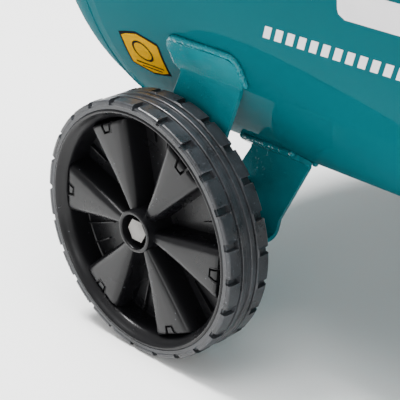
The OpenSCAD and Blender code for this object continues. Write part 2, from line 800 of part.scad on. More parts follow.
journal_r = 12;
journal_gap = 0.05;
case_t = 9;
case_r = 66;
case_in_r = case_r - case_t;
bearing_nose = 18;
nose_y = case_half_y + bearing_nose;
cover_r = case_r - 14;
filler_rise = 20;
filler_r = 9;
plug_thread_r = 6;
oil_plug_up = 2;
foot_len = 148;
module crankcase() {
    color(CAST) difference() {
        union() {
            along_y(pump_x, -case_half_y, crank_z) cylinder(r = case_r, h = 2 * case_half_y);
            along_y(pump_x, -case_half_y - cover_t, crank_z) cylinder(r = cover_r, h = cover_t + 2);
            along_y(pump_x, case_half_y - 2, crank_z) cylinder(r = bearing_r, h = nose_y - case_half_y + 2);
            translate([pump_x, 0, deck_z]) round_plate(foot_len, 2 * case_half_y, foot_t, 10);
            translate([pump_x - 48, -case_half_y + 8, deck_z + 2])
                cube([96, 2 * case_half_y - 16, crank_rise - 30]);
            translate([pump_x, 0, block_z - 12]) round_plate(head_w, 2 * block_half_y, 12, 12);
            translate([pump_x - 44, -case_half_y + 4, crank_z]) cube([88, 2 * case_half_y - 8, 66]);
        }
        along_y(pump_x, -case_half_y + case_t, crank_z)
            cylinder(r = case_in_r, h = 2 * (case_half_y - case_t));
        for (j = [-1, 1]) translate([pump_x, j * bore_pitch / 2, crank_z])
            cylinder(r = bore_r + 5, h = 90);
        along_y(pump_x, -case_half_y - 1, crank_z) cylinder(r = bearing_r, h = 2 * case_half_y);
        along_y(pump_x, case_half_y - 2, crank_z) cylinder(r = journal_r + 0.3, h = 40);
        foot_holes(m8_hole_r, 60);
        along_y(pump_x, -case_half_y - 20, glass_z) cylinder(r = glass_r, h = 40);
        along_y(plug_x, -case_half_y - 20, glass_z + oil_plug_up)
            cylinder(r = plug_thread_r, h = 40);
        translate([pump_x - case_r + 12, 0, crank_z + filler_rise]) rotate([0, -90, 0])
            cylinder(r = filler_r, h = 40);
    }
}
bearing_r = 26;
glass_r = 9;
glass_drop = 40;
glass_z = crank_z - glass_drop;
plug_off = 26;
plug_x = pump_x + plug_off;
cover_t = 6;
module crank_bearings() {
    color(ZINC) for (y = [-case_half_y, case_half_y - 17]) along_y(pump_x, y, crank_z)
        tube(bearing_r, journal_r + journal_gap, 15);
}
pin_r = 9;
web_t = 8;
web_wall = 4;
web_r = throw_r + pin_r + web_wall;
web_off = 9;
web_y = bore_pitch / 2 + web_off;
module crankshaft() {
    color(STEEL) {
        along_y(pump_x, -case_half_y, crank_z) cylinder(r = journal_r, h = case_half_y - web_y);
        along_y(pump_x, web_y, crank_z) cylinder(r = journal_r, h = belt_y + fly_w / 2 - web_y);
        for (y = [-web_y - web_t, -web_t / 2, web_y]) along_y(pump_x, y, crank_z)
            cylinder(r = web_r, h = web_t);
        along_y(pump_x, -web_y, pin_z) cylinder(r = pin_r, h = 2 * web_y);
    }
}
eye_r = 8.5;
rod_wall = 6;
rod_w = 10;
rod_t = 8;
module rod(y) {
    half_t = 7;
    color(ALLOY) difference() {
        union() {
            along_y(pump_x, y - half_t, pin_z) cylinder(r = pin_r + rod_wall, h = 2 * half_t);
            along_y(pump_x, y - half_t, eye_z) cylinder(r = eye_r, h = 2 * half_t);
            translate([pump_x - rod_w / 2, y - rod_t / 2, pin_z + pin_r + 2])
                cube([rod_w, rod_t, rod_len - pin_r - 4]);
        }
        along_y(pump_x, y - 20, pin_z) cylinder(r = pin_r + run_gap, h = 40);
    }
}
module front_rod() { rod(-bore_pitch / 2); }
module rear_rod() { rod(bore_pitch / 2); }
piston_gap = 0.4;
piston_h = 40;
piston_wall = 3.4;
crown_t = 6;
module pistons() {
    piston_r = bore_r - piston_gap;
    color(ALLOY) for (j = [-1, 1]) translate([pump_x, j * bore_pitch / 2, crown_z]) difference() {
        translate([0, 0, -piston_h]) cylinder(r = piston_r, h = piston_h);
        translate([0, 0, -piston_h - cut])
            cylinder(r = piston_r - piston_wall, h = piston_h + cut - crown_t);
        for (z = [-8, -13, -20]) translate([0, 0, z]) difference() {
            cylinder(r = piston_r + 1, h = 2);
            translate([0, 0, -1]) cylinder(r = piston_r - 1.6, h = 4);
        }
    }
}
block_fins = 5;
fin_t = 3;
cylinder_wall = 7;
block_corner_r = 12;
valve_port_r = 5;
valve_port_x = 14;
module cylinder_block() {
    stack = plate_z - block_z;
    color(CAST) difference() {
        union() {
            for (j = [-1, 1]) translate([pump_x, j * bore_pitch / 2, block_z])
                cylinder(r = bore_r + cylinder_wall, h = stack);
            translate([pump_x, 0, block_z]) round_plate(head_w, 2 * block_half_y, 5, block_corner_r);
            for (i = [0 : block_fins - 1])
                translate([pump_x, 0, block_z + (i + 1) * stack / (block_fins + 0.35)])
                    round_plate(head_w, 2 * block_half_y, fin_t, block_corner_r);
        }
        for (j = [-1, 1]) translate([pump_x, j * bore_pitch / 2, block_z - 1])
            cylinder(r = bore_r, h = stack + 2);
    }
}
module valve_plate() {
    color(ZINC) difference() {
        translate([pump_x, 0, plate_z])
            round_plate(head_w, 2 * block_half_y, valve_plate_t, block_corner_r);
        for (i = [-1, 1], j = [-1, 1])
            translate([pump_x + i * valve_port_x, j * bore_pitch / 2, plate_z - cut])
                cylinder(r = valve_port_r, h = valve_plate_t + 2 * cut);
    }
}
head_bolt_inset = 9;
head_bolt_x = head_w / 2 - head_bolt_inset;
head_bolt_y = block_half_y - head_bolt_inset;
head_flange_t = 9;
head_fins = 11;
head_fin_t = 2.4;
head_fin_pitch = 7.4;
port_boss_r = 14;
outlet_boss_r = 13;
intake_r = 7;
module head_bolt_places() {
    for (i = [-1, 1], j = [-1, 0, 1])
        translate([pump_x + i * head_bolt_x, j * head_bolt_y, head_z]) children();
}
module cylinder_head() {
    color(ALLOY) difference() {
        union() {
            translate([pump_x, 0, head_z])
                round_plate(head_w, 2 * block_half_y, head_flange_t, block_corner_r);
            translate([pump_x, 0, head_z + 8]) round_plate(head_w - 34, 2 * block_half_y - 6, 24, 8);
            for (i = [0 : head_fins - 1])
                translate([pump_x - head_w / 2 + 18 + i * head_fin_pitch, -block_half_y + 5, head_z + 8])
                    cube([head_fin_t, 2 * block_half_y - 10, head_h - 8]);
            along_y(pipe_x, -block_half_y - 8, pipe_z) cylinder(r = outlet_boss_r, h = 24);
            for (j = [-1, 1]) translate([pump_x + head_w / 2 - 22, j * bore_pitch / 2, port_z])
                rotate([0, 90, 0]) cylinder(r = port_boss_r, h = 22);
        }
        translate([pump_x, 0, head_z - 1]) round_plate(head_w - 46, 2 * block_half_y - 20, 16, 6);
        head_bolt_places() translate([0, 0, -cut]) cylinder(r = m8_hole_r, h = 60);
        along_y(pipe_x, -block_half_y - 10, pipe_z) cylinder(r = pipe_r, h = 20);
        for (j = [-1, 1]) translate([pump_x + head_w / 2 - 12, j * bore_pitch / 2, port_z])
            rotate([0, 90, 0]) cylinder(r = intake_r, h = 30);
    }
}
module hex_bolts() {
    color(ZINC) {
        foot_bolts();
        head_bolt_places() {
            cylinder(r = m8_r, h = head_flange_t + 0.5);
            translate([0, 0, head_flange_t]) hex(m8_af, 8);
        }
    }
}
filter_r = 28;
filter_neck = 12;
filter_len = 30;
filter_cap = 3;
module intake_filters() {
    color(BLACK) for (j = [-1, 1]) translate([pump_x + head_w / 2 - 4, j * bore_pitch / 2, port_z])
        rotate([0, 90, 0]) {
            cylinder(r = intake_r, h = filter_neck);
            translate([0, 0, 4]) cylinder(r1 = 11, r2 = filter_r, h = filter_neck - 4);
            translate([0, 0, filter_neck]) cylinder(r = filter_r, h = filter_len);
            translate([0, 0, filter_neck + filter_len])
                cylinder(r = filter_r - filter_cap, h = filter_cap + 1);
            translate([0, 0, filter_neck + filter_len + filter_cap]) hex(14, 5);
        }
}
module sight_glass() {
    color(GLASS) along_y(pump_x, -case_half_y - cover_t - 4, glass_z) {
        translate([0, 0, 4]) cylinder(r = glass_r, h = 10);
        cylinder(r = glass_r + 4, h = 4);
    }
}
module oil_plug() {
    color(BRASS) along_y(plug_x, -case_half_y - cover_t - 6, glass_z + oil_plug_up) {
        hex(m8_af, 6);
        cylinder(r = plug_thread_r, h = 16);
    }
}
module oil_filler() {
    color(RUBBER) translate([pump_x - case_r + 8, 0, crank_z + filler_rise]) rotate([0, -90, 0]) {
        cylinder(r = filler_r, h = 12);
        translate([0, 0, 8]) cylinder(r = 14, h = 12);
        translate([0, 0, 20]) cylinder(r = 6, h = 8);
    }
}

// ---- Air line ----

valve_h = 50;
valve_socket = 12;
valve_top = boss_top + valve_h;
module pipe_path(r) {
    start = -block_half_y + 2;
    along_y(pipe_x, -fit_y + pipe_bend, pipe_z) cylinder(r = r, h = start + fit_y - pipe_bend);
    translate([pipe_x, -fit_y + pipe_bend, pipe_z - pipe_bend]) mirror([0, 1, 0]) rotate([0, -90, 0])
        quarter_bend(pipe_bend, r);
    translate([pipe_x, -fit_y, valve_top - valve_socket])
        cylinder(r = r, h = pipe_z - pipe_bend - valve_top + valve_socket);
}
module delivery_pipe() {
    color(COPPER) difference() {
        pipe_path(pipe_r);
        pipe_path(pipe_r - 1);
    }
}
module check_valve() {
    color(BRASS) translate([pipe_x, -fit_y, boss_top]) difference() {
        union() {
            translate([0, 0, -thread_len]) cylinder(r = port_r, h = thread_len + 1);
            hex(30, 14);
            translate([0, 0, 13]) cylinder(r = 13, h = 22);
            translate([0, 0, 34]) hex(27, valve_h - 34);
            along_x(0, 0, stub_rise) cylinder(r = 5, h = stub_len);
        }
        translate([0, 0, valve_h - valve_socket]) cylinder(r = pipe_r, h = 40);
    }
}
thread_len = 18;
switch_h = 82;
lead_rise = 50;
unload_rise = 14;
switch_half_x = 35;
switch_half_y = 27;
stub_len = 17;
stub_rise = 24;
unload_bend = 9;
unload_r = 3;
module unloader_tube() {
    x0 = pipe_x + stub_len;
    z0 = boss_top + stub_rise;
    z1 = switch_z + unload_rise;
    x1 = switch_x - switch_half_x - 1;
    turn_x = x0 + 2 + unload_bend;
    color(COPPER) {
        along_x(x0, -fit_y, z0) cylinder(r = unload_r, h = 2);
        translate([x0 + 2, -fit_y, z0 + unload_bend]) rotate([90, 0, 0]) rotate(-90)
            quarter_bend(unload_bend, unload_r);
        translate([turn_x, -fit_y, z0 + unload_bend])
            cylinder(r = unload_r, h = z1 - z0 - 2 * unload_bend);
        translate([turn_x + unload_bend, -fit_y, z1 - unload_bend]) rotate([90, 0, 0]) rotate(90)
            quarter_bend(unload_bend, unload_r);
        along_x(turn_x + unload_bend, -fit_y, z1)
            cylinder(r = unload_r, h = x1 - turn_x - unload_bend);
    }
}
module pressure_switch() {
    color(BLACK) difference() {
        union() {
            translate([switch_x, -fit_y, switch_z])
                round_plate(2 * switch_half_x, 2 * switch_half_y, switch_h, 9);
            along_x(switch_x + switch_half_x - 2, -fit_y, switch_z + lead_rise)
                cylinder(r = gland_r, h = 14);
            along_x(switch_x - switch_half_x - 10, -fit_y, switch_z + lead_rise)
                cylinder(r = gland_r, h = 14);
            along_x(switch_x - switch_half_x - 5, -fit_y, switch_z + unload_rise)
                cylinder(r = 2 * unload_r, h = 10);
            translate([switch_x, -fit_y, switch_z - 3]) hex(24, 6);
            manifold();
        }
        translate([switch_x, -fit_y, switch_z + switch_h - 12]) cylinder(r = knob_r + knob_gap, h = 20);
        along_x(switch_x + switch_half_x - 4, -fit_y, switch_z + lead_rise)
            cylinder(r = lead_r, h = 30);
        along_x(switch_x - switch_half_x - 20, -fit_y, switch_z + lead_rise)
            cylinder(r = lead_r, h = 24);
        along_x(switch_x - switch_half_x - 8, -fit_y, switch_z + unload_rise)
            cylinder(r = unload_r, h = 10);
        along_x(switch_x - manifold_r - 6, -fit_y, fit_z) cylinder(r = safety_thread_r, h = 12);
    }
}
manifold_r = 12;
gauge_stem_r = 5;
switch_gauge_off = 20;
regulator_gauge_off = 24;
module manifold() {
    translate([switch_x, -fit_y, boss_top - thread_len]) cylinder(r = port_r, h = thread_len + 2);
    translate([switch_x, -fit_y, boss_top]) cylinder(r = manifold_r, h = switch_z - boss_top);
    along_x(switch_x, -fit_y, fit_z) cylinder(r = 7, h = regulator_x - switch_x - 20);
    along_x(switch_x - manifold_r - 4, -fit_y, fit_z) cylinder(r = 9, h = 14);
    along_y(switch_x, switch_gauge_y, fit_z) cylinder(r = gauge_stem_r, h = switch_gauge_off);
}
knob_r = 13;
knob_gap = 0.3;
knob_travel = 6;
module switch_knob() {
    color(RED) translate([switch_x, -fit_y, switch_z + switch_h - 11]) {
        cylinder(r = knob_r, h = 11 + knob_travel);
        translate([0, 0, 11 + knob_travel]) cylinder(r1 = knob_r, r2 = knob_r - 2, h = 4);
    }
}
safety_len = 34;
safety_thread_r = 6;
module safety_valve() {
    color(BRASS) translate([switch_x - manifold_r, -fit_y, fit_z]) rotate([0, -90, 0]) difference() {
        union() {
            cylinder(r = safety_thread_r, h = 10);
            translate([0, 0, 5]) hex(17, 8);
            translate([0, 0, 13]) cylinder(r = 7.5, h = safety_len - 13);
        }
        translate([0, 0, 20]) cylinder(r = 2.6, h = 20);
    }
}
module safety_ring() {
    color(ZINC) translate([switch_x - manifold_r, -fit_y, fit_z]) rotate([0, -90, 0]) {
        translate([0, 0, 22]) cylinder(r = 2.2, h = safety_len - 22 + 4);
        translate([0, 0, safety_len + 4 + 7]) rotate([0, 90, 0]) rotate_extrude()
            translate([7.5, 0]) circle(r = 1);
    }
}
body_r = 19;
module regulator() {
    color(ALLOY) {
        translate([regulator_x, -fit_y, fit_z - 22]) cylinder(r = body_r - 4, h = 8);
        translate([regulator_x, -fit_y, fit_z - 15]) cylinder(r = body_r, h = 30);
        along_x(regulator_x - 20, -fit_y, fit_z) cylinder(r = 10, h = 40);
        along_y(regulator_x, regulator_gauge_y, fit_z) cylinder(r = gauge_stem_r, h = 20);
        translate([regulator_x, -fit_y, fit_z + 14]) cylinder(r = 9, h = 10);
    }
}
module regulator_knob() {
    color(BLACK) translate([regulator_x, -fit_y, fit_z + 15.4]) difference() {
        union() {
            cylinder(r = 16, h = 26);
            for (i = [0 : 11]) rotate(i * 30) translate([15.4, 0, 2]) cylinder(r = 1.6, h = 22);
        }
        translate([0, 0, -1]) cylinder(r = 9 + run_gap, h = 12);
    }
}
gauge_t = 16;
gauge_rim = 3;
gauge_lip = 1.4;
needle_pin_r = 1.2;
switch_gauge_y = -fit_y - switch_gauge_off;
regulator_gauge_y = -fit_y - regulator_gauge_off;
module gauge_case() {
    difference() {
        union() {
            translate([0, 0, -gauge_t]) cylinder(r = gauge_r, h = gauge_t);
            translate([0, 0, -gauge_t - gauge_lip]) tube(gauge_r + 1, gauge_r - gauge_rim, 3);
        }
        translate([0, 0, -gauge_t - 1]) cylinder(r = gauge_r - gauge_rim, h = 7);
    }
    translate([0, 0, -gauge_t + 3]) cylinder(r = needle_pin_r, h = 4);
    translate([0, 0, -gauge_t - 1]) cylinder(r = gauge_r - gauge_rim, h = 1.6);
}
module gauge_cases() {
    color(BLACK) {
        along_y(switch_x, switch_gauge_y, fit_z) gauge_case();
        along_y(regulator_x, regulator_gauge_y, fit_z) gauge_case();
    }
}
module needle() {
    translate([0, 0, -gauge_t + 3.4]) difference() {
        union() {
            cylinder(r = 3, h = 1.2);
            rotate(135) translate([-6, -0.8, 0]) cube([gauge_r - 1, 1.6, 1]);
        }
        translate([0, 0, -1]) cylinder(r = needle_pin_r + run_gap, h = 4);
    }
}
module tank_needle() { color(RED) along_y(switch_x, switch_gauge_y, fit_z) needle(); }
module line_needle() { color(RED) along_y(regulator_x, regulator_gauge_y, fit_z) needle(); }
coupler_len = 52;
coupler_r = 9;
module quick_coupler() {
    color(ZINC) along_x(coupler_x - 2, -fit_y, fit_z) difference() {
        union() {
            cylinder(r = 7, h = 8);
            translate([0, 0, 2]) hex(19, 9);
            translate([0, 0, 11]) cylinder(r = coupler_r, h = coupler_len - 11);
        }
        translate([0, 0, coupler_len - socket_len]) cylinder(r = socket_r, h = socket_len + 1);
    }
}
module coupler_sleeve() {
    color(ALLOY) along_x(coupler_x + 20, -fit_y, fit_z) difference() {
        union() {
            cylinder(r = 12, h = coupler_len - 24);
            for (z = [4, 9, 14]) translate([0, 0, z]) cylinder(r = 12.8, h = 2.5);
        }
        translate([0, 0, -cut]) cylinder(r = coupler_r + run_gap, h = coupler_len);
    }
}
lead_bend = 18;
lead_y = box_y;
module motor_lead() {
    x0 = switch_x + switch_half_x;
    z0 = switch_z + lead_rise;
    color(RUBBER) {
        along_x(x0, -fit_y, z0) cylinder(r = lead_r, h = lead_x - lead_bend - x0);
        translate([lead_x - lead_bend, -fit_y, z0 + lead_bend]) rotate([90, 0, 0]) rotate(-90)
            quarter_bend(lead_bend, lead_r);
        translate([lead_x, -fit_y, z0 + lead_bend])
            cylinder(r = lead_r, h = lead_z - z0 - 2 * lead_bend);
        translate([lead_x, -fit_y + lead_bend, lead_z - lead_bend]) rotate([90, 0, 90]) rotate(90)
            quarter_bend(lead_bend, lead_r);
        along_y(lead_x, -fit_y + lead_bend, lead_z)
            cylinder(r = lead_r, h = lead_y + fit_y - 2 * lead_bend);
        translate([lead_x + lead_bend, lead_y - lead_bend, lead_z]) rotate(90)
            quarter_bend(lead_bend, lead_r);
        along_x(lead_x + lead_bend, lead_y, lead_z)
            cylinder(r = lead_r, h = motor_x - box_x - lead_x - lead_bend + 6);
    }
}

tank_shell();
wheel_end_head();
handle_end_head();
tank_plug();
front_wheel_bracket();
rear_wheel_bracket();
foot_bracket();
rubber_feet();
handle_tube();
handle_grip();
platform();
drain_valve();
drain_lever();
front_tyre();
front_rim();
rear_tyre();
rear_rim();
wheel_bolts();
wheel_sleeves();
wheel_nuts();
motor_frame();
stator();
rotor_shaft();
fan_cover();
cooling_fan();
terminal_box();
motor_pulley();
drive_belt();
guard_back();
guard_front();
hex_bolts();
crankcase();
sight_glass();
oil_plug();
oil_filler();
cylinder_block();
valve_plate();
cylinder_head();
intake_filters();
flywheel();
crankshaft();
crank_bearings();
front_rod();
rear_rod();
pistons();
delivery_pipe();
check_valve();
unloader_tube();
pressure_switch();
switch_knob();
safety_valve();
safety_ring();
regulator();
regulator_knob();
gauge_cases();
tank_needle();
line_needle();
quick_coupler();
coupler_sleeve();
motor_lead();
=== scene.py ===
import json
import math
import random

import bmesh
import bpy
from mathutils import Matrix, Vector


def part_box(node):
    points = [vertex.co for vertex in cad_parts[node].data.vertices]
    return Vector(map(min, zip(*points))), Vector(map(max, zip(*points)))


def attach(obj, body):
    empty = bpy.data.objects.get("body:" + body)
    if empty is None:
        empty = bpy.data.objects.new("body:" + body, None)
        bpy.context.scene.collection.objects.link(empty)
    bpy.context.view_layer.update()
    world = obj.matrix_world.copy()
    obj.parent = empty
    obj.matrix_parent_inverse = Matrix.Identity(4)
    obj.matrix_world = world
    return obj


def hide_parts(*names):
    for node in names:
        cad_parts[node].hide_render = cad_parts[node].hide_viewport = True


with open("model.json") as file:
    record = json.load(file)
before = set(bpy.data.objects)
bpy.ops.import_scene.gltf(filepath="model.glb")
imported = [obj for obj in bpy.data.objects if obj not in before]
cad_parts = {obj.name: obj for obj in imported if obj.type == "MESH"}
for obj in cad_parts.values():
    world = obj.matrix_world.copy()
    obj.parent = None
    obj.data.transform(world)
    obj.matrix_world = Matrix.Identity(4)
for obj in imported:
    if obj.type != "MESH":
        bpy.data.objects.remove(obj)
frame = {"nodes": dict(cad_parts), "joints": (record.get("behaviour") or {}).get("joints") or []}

bl_info = {
    "name": "Air compressor looks",
    "version": (1, 0, 0),
    "blender": (4, 5, 0),
    "location": "View3D > Sidebar > Compressor",
    "description": "Wheels, tank, brackets, pump, fittings and finishes of a wheeled air compressor",
    "category": "Object",
}

MM = 0.001
TURN = 2 * math.pi
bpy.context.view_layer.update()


# ---- Sizes read from the frame, in millimetres ----

def corners(name):
    """Lowest and highest corner of a CAD node, in millimetres."""
    low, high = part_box(name)
    return low / MM, high / MM


def middle(name):
    """Middle of a CAD node's box, in millimetres."""
    low, high = corners(name)
    return (low + high) / 2


PINS = {j["name"]: Vector(j["pos_m"]) / MM for j in frame["joints"] if "pos_m" in j}

tyre_low, tyre_high = corners("front_tyre")
WHEEL_X = PINS["front_wheel_spin"].x
WHEEL_Z = PINS["front_wheel_spin"].z
FACE_Y = tyre_low.y
TYRE_R = (tyre_high.x - tyre_low.x) / 2
TYRE_W = tyre_high.y - tyre_low.y
rim_low, rim_high = corners("front_rim")
LIP_R = (rim_high.x - rim_low.x) / 2
HUB_END = rim_high.y - rim_low.y

shell_low, shell_high = corners("tank_shell")
TANK_X0, TANK_X1 = shell_low.x, shell_high.x
TANK_R = round(shell_high.y - shell_low.y) / 2
TANK_Z = middle("tank_plug").z
HEAD_DEPTH = TANK_X0 - corners("wheel_end_head")[0].x
SHEET = 4.0

bracket_low, bracket_high = corners("front_wheel_bracket")
PUMP_X = PINS["crank_spin"].x
CRANK_Z = PINS["crank_spin"].z
MOTOR_X = PINS["rotor_spin"].x
MOTOR_Z = PINS["rotor_spin"].z


# ---- Colours and sizes that a user would change ----

def linear(code):
    """Turn an sRGB hex code such as #11777F into a linear colour."""
    shares = [int(code[i:i + 2], 16) / 255 for i in (1, 3, 5)]
    return [s / 12.92 if s <= 0.04045 else ((s + 0.055) / 1.055) ** 2.4 for s in shares]


def tint(label, what, code):
    """A colour property with a hex default."""
    return bpy.props.FloatVectorProperty(name=label, description=what, default=linear(code),
                                         size=3, subtype="COLOR", min=0, max=1)


def length(label, what, size):
    """A length property with its default in millimetres, held in metres."""
    return bpy.props.FloatProperty(name=label, description=what, default=size * MM,
                                   min=0, unit="LENGTH", precision=4)


class CompressorColours(bpy.types.PropertyGroup):
    enamel: tint("Tank enamel", "Sprayed paint of the tank, brackets, platform and handle", "#00545C")
    # painted light: a lighter copy of the tank enamel, so the brackets, platform and welds sitting in
    # the tank's shade look brightly lit
    painted_light_enamel: tint("Thin enamel", "Brackets and platform, where the paint is thin", "#00727C")
    enamel_deep: tint("Thick enamel", "Where the paint runs thick", "#00484F")
    tyre: tint("Tyre rubber", "Solid rubber of the tyres", "#1E1F21")
    # partly painted light: a real bloom and wear grey, made lighter so that the tyre tread in the
    # tank's shade looks lit
    dust_and_painted_light: tint("Tyre bloom", "Grey bloom and dust on the rubber", "#505359")
    rim: tint("Rim plastic", "Moulded plastic of the rims", "#0E0E10")
    black: tint("Black powder coat", "Motor, fan cover and belt guard", "#1B1C1E")
    casing: tint("Black casing", "Switch box, terminal box and filters", "#161719")
    iron: tint("Cast iron", "Painted castings of the pump", "#2A2C2F")
    zinc: tint("Zinc plate", "Bolts, nuts and couplings", "#C6C8C8")
    bolt: tint("Oiled steel", "Wheel bolts", "#6E6C6A")
    alloy: tint("Die-cast alloy", "Cylinder head and regulator", "#B9BBBC")
    steel: tint("Turned steel", "Shafts and bearings", "#A9ACAE")
    brass: tint("Brass", "Turned brass fittings", "#C9A55A")
    copper: tint("Copper", "Drawn copper pipe", "#C27E56")
    red: tint("Red plastic", "Switch knob, drain lever and needles", "#B3211F")
    oil: tint("Oil", "Oil behind the sight glass", "#A8792F")
    grip: tint("Grip foam", "Foam grip of the handle", "#1D1E20")
    sticker: tint("Yellow film", "Film of the sticker", "#BE8E00")
    film: tint("White film", "Film of the stripes and panel", "#E3E1E3")
    floor: tint("Floor", "Seamless studio floor", "#FBFBFA")


class CompressorSizes(bpy.types.PropertyGroup):
    tread_blocks: bpy.props.IntProperty(
        name="Tread blocks", description="Blocks in each shoulder row of a tyre",
        default=24, min=12, max=36)
    spokes: bpy.props.IntProperty(
        name="Spokes", description="Raised wedge spokes in a rim", default=6, min=5, max=8)
    pocket: length("Pocket width", "Width of a pocket between two tread blocks", 5.6)
    pocket_depth: length("Pocket depth", "Depth of a pocket between two tread blocks", 2.4)
    bead: length("Weld bead", "Radius of a weld bead", 2.6)
    film_gap: length("Film height", "How far printed film stands off the paint", 0.18)


def sizes():
    """The sizes that the sidebar shows."""
    return bpy.context.scene.compressor_sizes


def colour(name, alpha=1.0):
    """One of the sidebar's colours as red, green, blue and alpha."""
    return (*getattr(bpy.context.scene.compressor_colours, name), alpha)


# ---- Mesh helpers; every point is in millimetres in the frame ----

class Shape:
    """Points and faces gathered from simple forms."""

    def __init__(self):
        self.points = []
        self.faces = []

    def grid(self, rows, around=False, along=False):
        """Join rows of points into quads; around closes each row and along closes the stack."""
        first = len(self.points)
        wide = len(rows[0])
        for row in rows:
            self.points.extend(Vector(p) for p in row)
        for i in range(len(rows) if along else len(rows) - 1):
            for j in range(wide if around else wide - 1):
                a, b = i * wide, (i + 1) % len(rows) * wide
                k = (j + 1) % wide
                self.faces.append([first + a + j, first + a + k, first + b + k, first + b + j])
        return self

    def loft(self, rings):
        """Closed body through rings of points, with a flat face at each end."""
        first = len(self.points)
        wide = len(rings[0])
        self.grid(rings, around=True)
        self.faces.append([first + i for i in range(wide)][::-1])
        last = first + wide * (len(rings) - 1)
        self.faces.append([last + i for i in range(wide)])
        return self

    def lathe(self, profile, put, steps=96, closed=True):
        """Turn a profile of (radius, depth) about an axis; put maps radius, angle and depth."""
        rows = [[put(r, TURN * i / steps, d) for i in range(steps)] for r, d in profile]
        return self.grid(rows, around=True, along=closed)

    def pin(self, profile, put, steps=48):
        """Turned solid whose profile runs from one end's rim to the other's."""
        return self.loft([[put(r, TURN * i / steps, d) for i in range(steps)] for r, d in profile])

    def sweep(self, path, radius, side, sides=8, closed=False):
        """Round rod along a path; side is a direction that the path never points in."""
        rings = []
        for i, p in enumerate(path):
            before = path[i - 1] if i or closed else path[0]
            after = path[(i + 1) % len(path)] if i + 1 < len(path) or closed else path[-1]
            along = (Vector(after) - Vector(before)).normalized()
            right = Vector(side).cross(along).normalized()
            up = along.cross(right)
            size = radius[i] if isinstance(radius, list) else radius
            rings.append([Vector(p) + size * (math.cos(TURN * k / sides) * right
                                              + math.sin(TURN * k / sides) * up)
                          for k in range(sides)])
        if closed:
            return self.grid(rings, around=True, along=True)
        return self.loft(rings)

    def add(self, other):
        """Take in another shape's points and faces."""
        first = len(self.points)
        self.points.extend(other.points)
        self.faces.extend([[first + i for i in face] for face in other.faces])
        return self

    def carved(self, tool):
        """A new shape with the tool's volume taken out."""
        body, blade = loose_object("body", self), loose_object("blade", tool)
        cut = body.modifiers.new("cut", "BOOLEAN")
        cut.operation = "DIFFERENCE"
        cut.solver = "EXACT"
        cut.object = blade
        bpy.context.view_layer.update()
        done = body.evaluated_get(bpy.context.evaluated_depsgraph_get()).to_mesh()
        result = Shape()
        result.points = [v.co / MM for v in done.vertices]
        result.faces = [list(p.vertices) for p in done.polygons]
        for thing in (body, blade):
            bpy.data.objects.remove(thing)
        return result


def loose_object(name, shape):
    """Put a shape into the scene as a mesh object with outward faces."""
    mesh = bpy.data.meshes.new(name)
    mesh.from_pydata([p * MM for p in shape.points], [], shape.faces)
    form = bmesh.new()
    form.from_mesh(mesh)
    bmesh.ops.remove_doubles(form, verts=form.verts, dist=0.002 * MM)
    bmesh.ops.dissolve_degenerate(form, edges=form.edges, dist=0.0005 * MM)
    bmesh.ops.recalc_face_normals(form, faces=form.faces)
    form.to_mesh(mesh)
    form.free()
    thing = bpy.data.objects.new(name, mesh)
    bpy.context.scene.collection.objects.link(thing)
    return thing


def soften(thing, radius, segments=2):
    """Round the sharp edges of a piece a little, as paint and moulds do."""
    bevel = thing.modifiers.new("rounded edges", "BEVEL")
    bevel.width = radius
    bevel.segments = segments
    bevel.limit_method = "ANGLE"
    bevel.angle_limit = math.radians(32)
    bevel.use_clamp_overlap = True
    bevel.harden_normals = True


def piece(name, shape, finish, body="root", replaces=(), edge=0.0, sharp=35):
    """Make a visible piece that rides on a body, with one finish all over."""
    thing = loose_object(name, shape)
    thing.data.materials.append(finish)
    thing.data.shade_smooth()
    if edge:
        soften(thing, edge * MM)
    else:
        thing.data.set_sharp_from_angle(angle=math.radians(sharp))
    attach(thing, body)
    if replaces:
        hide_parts(*replaces)
    return thing


def finish_node(name, finish, edge=0.5):
    """Give a CAD node its finish, and round its edges without touching its mesh."""
    thing = frame["nodes"][name]
    if not thing.material_slots:
        thing.data.materials.append(finish)
    for place in thing.material_slots:
        place.material = finish
    weld = thing.modifiers.new("joined faces", "WELD")
    weld.merge_threshold = 0.001 * MM
    if edge:
        soften(thing, edge * MM)
        thing.modifiers["rounded edges"].use_clamp_overlap = False
        level = thing.modifiers.new("flat faces", "WEIGHTED_NORMAL")
        level.keep_sharp = False


def finish_nodes(rows):
    """Finish CAD nodes from rows of name, finish and edge radius in millimetres."""
    for name, finish, edge in rows:
        finish_node(name, FINISHES[finish], edge)


def about_y(x, z, y0=0.0, side=1):
    """Placing function for turned parts on an axis along Y."""
    return lambda r, a, d: (x + r * math.cos(a), side * (y0 + d), z + r * math.sin(a))


def about_x(y, z, x0=0.0, side=1):
    """Placing function for turned parts on an axis along X."""
    return lambda r, a, d: (x0 + side * d, y + r * math.cos(a), z + r * math.sin(a))


def about_z(x, y, z0=0.0):
    """Placing function for turned parts on an upright axis."""
    return lambda r, a, d: (x + r * math.cos(a), y + r * math.sin(a), z0 + d)


def hexagon(shape, put, across, low, high):
    """Hexagon head with its corners turned off at the top."""
    corner = across / math.sqrt(3)
    rings = []
    for k in (0.93, 1.0):
        rings.append([put(corner * k, TURN * i / 6 + 0.3, low if k < 1 else low + 0.07 * corner)
                      for i in range(6)])
    rings.append([put(corner, TURN * i / 6 + 0.3, high - 0.12 * corner) for i in range(6)])
    rings.append([put(corner * 0.9, TURN * i / 6 + 0.3, high) for i in range(6)])
    return shape.loft(rings)


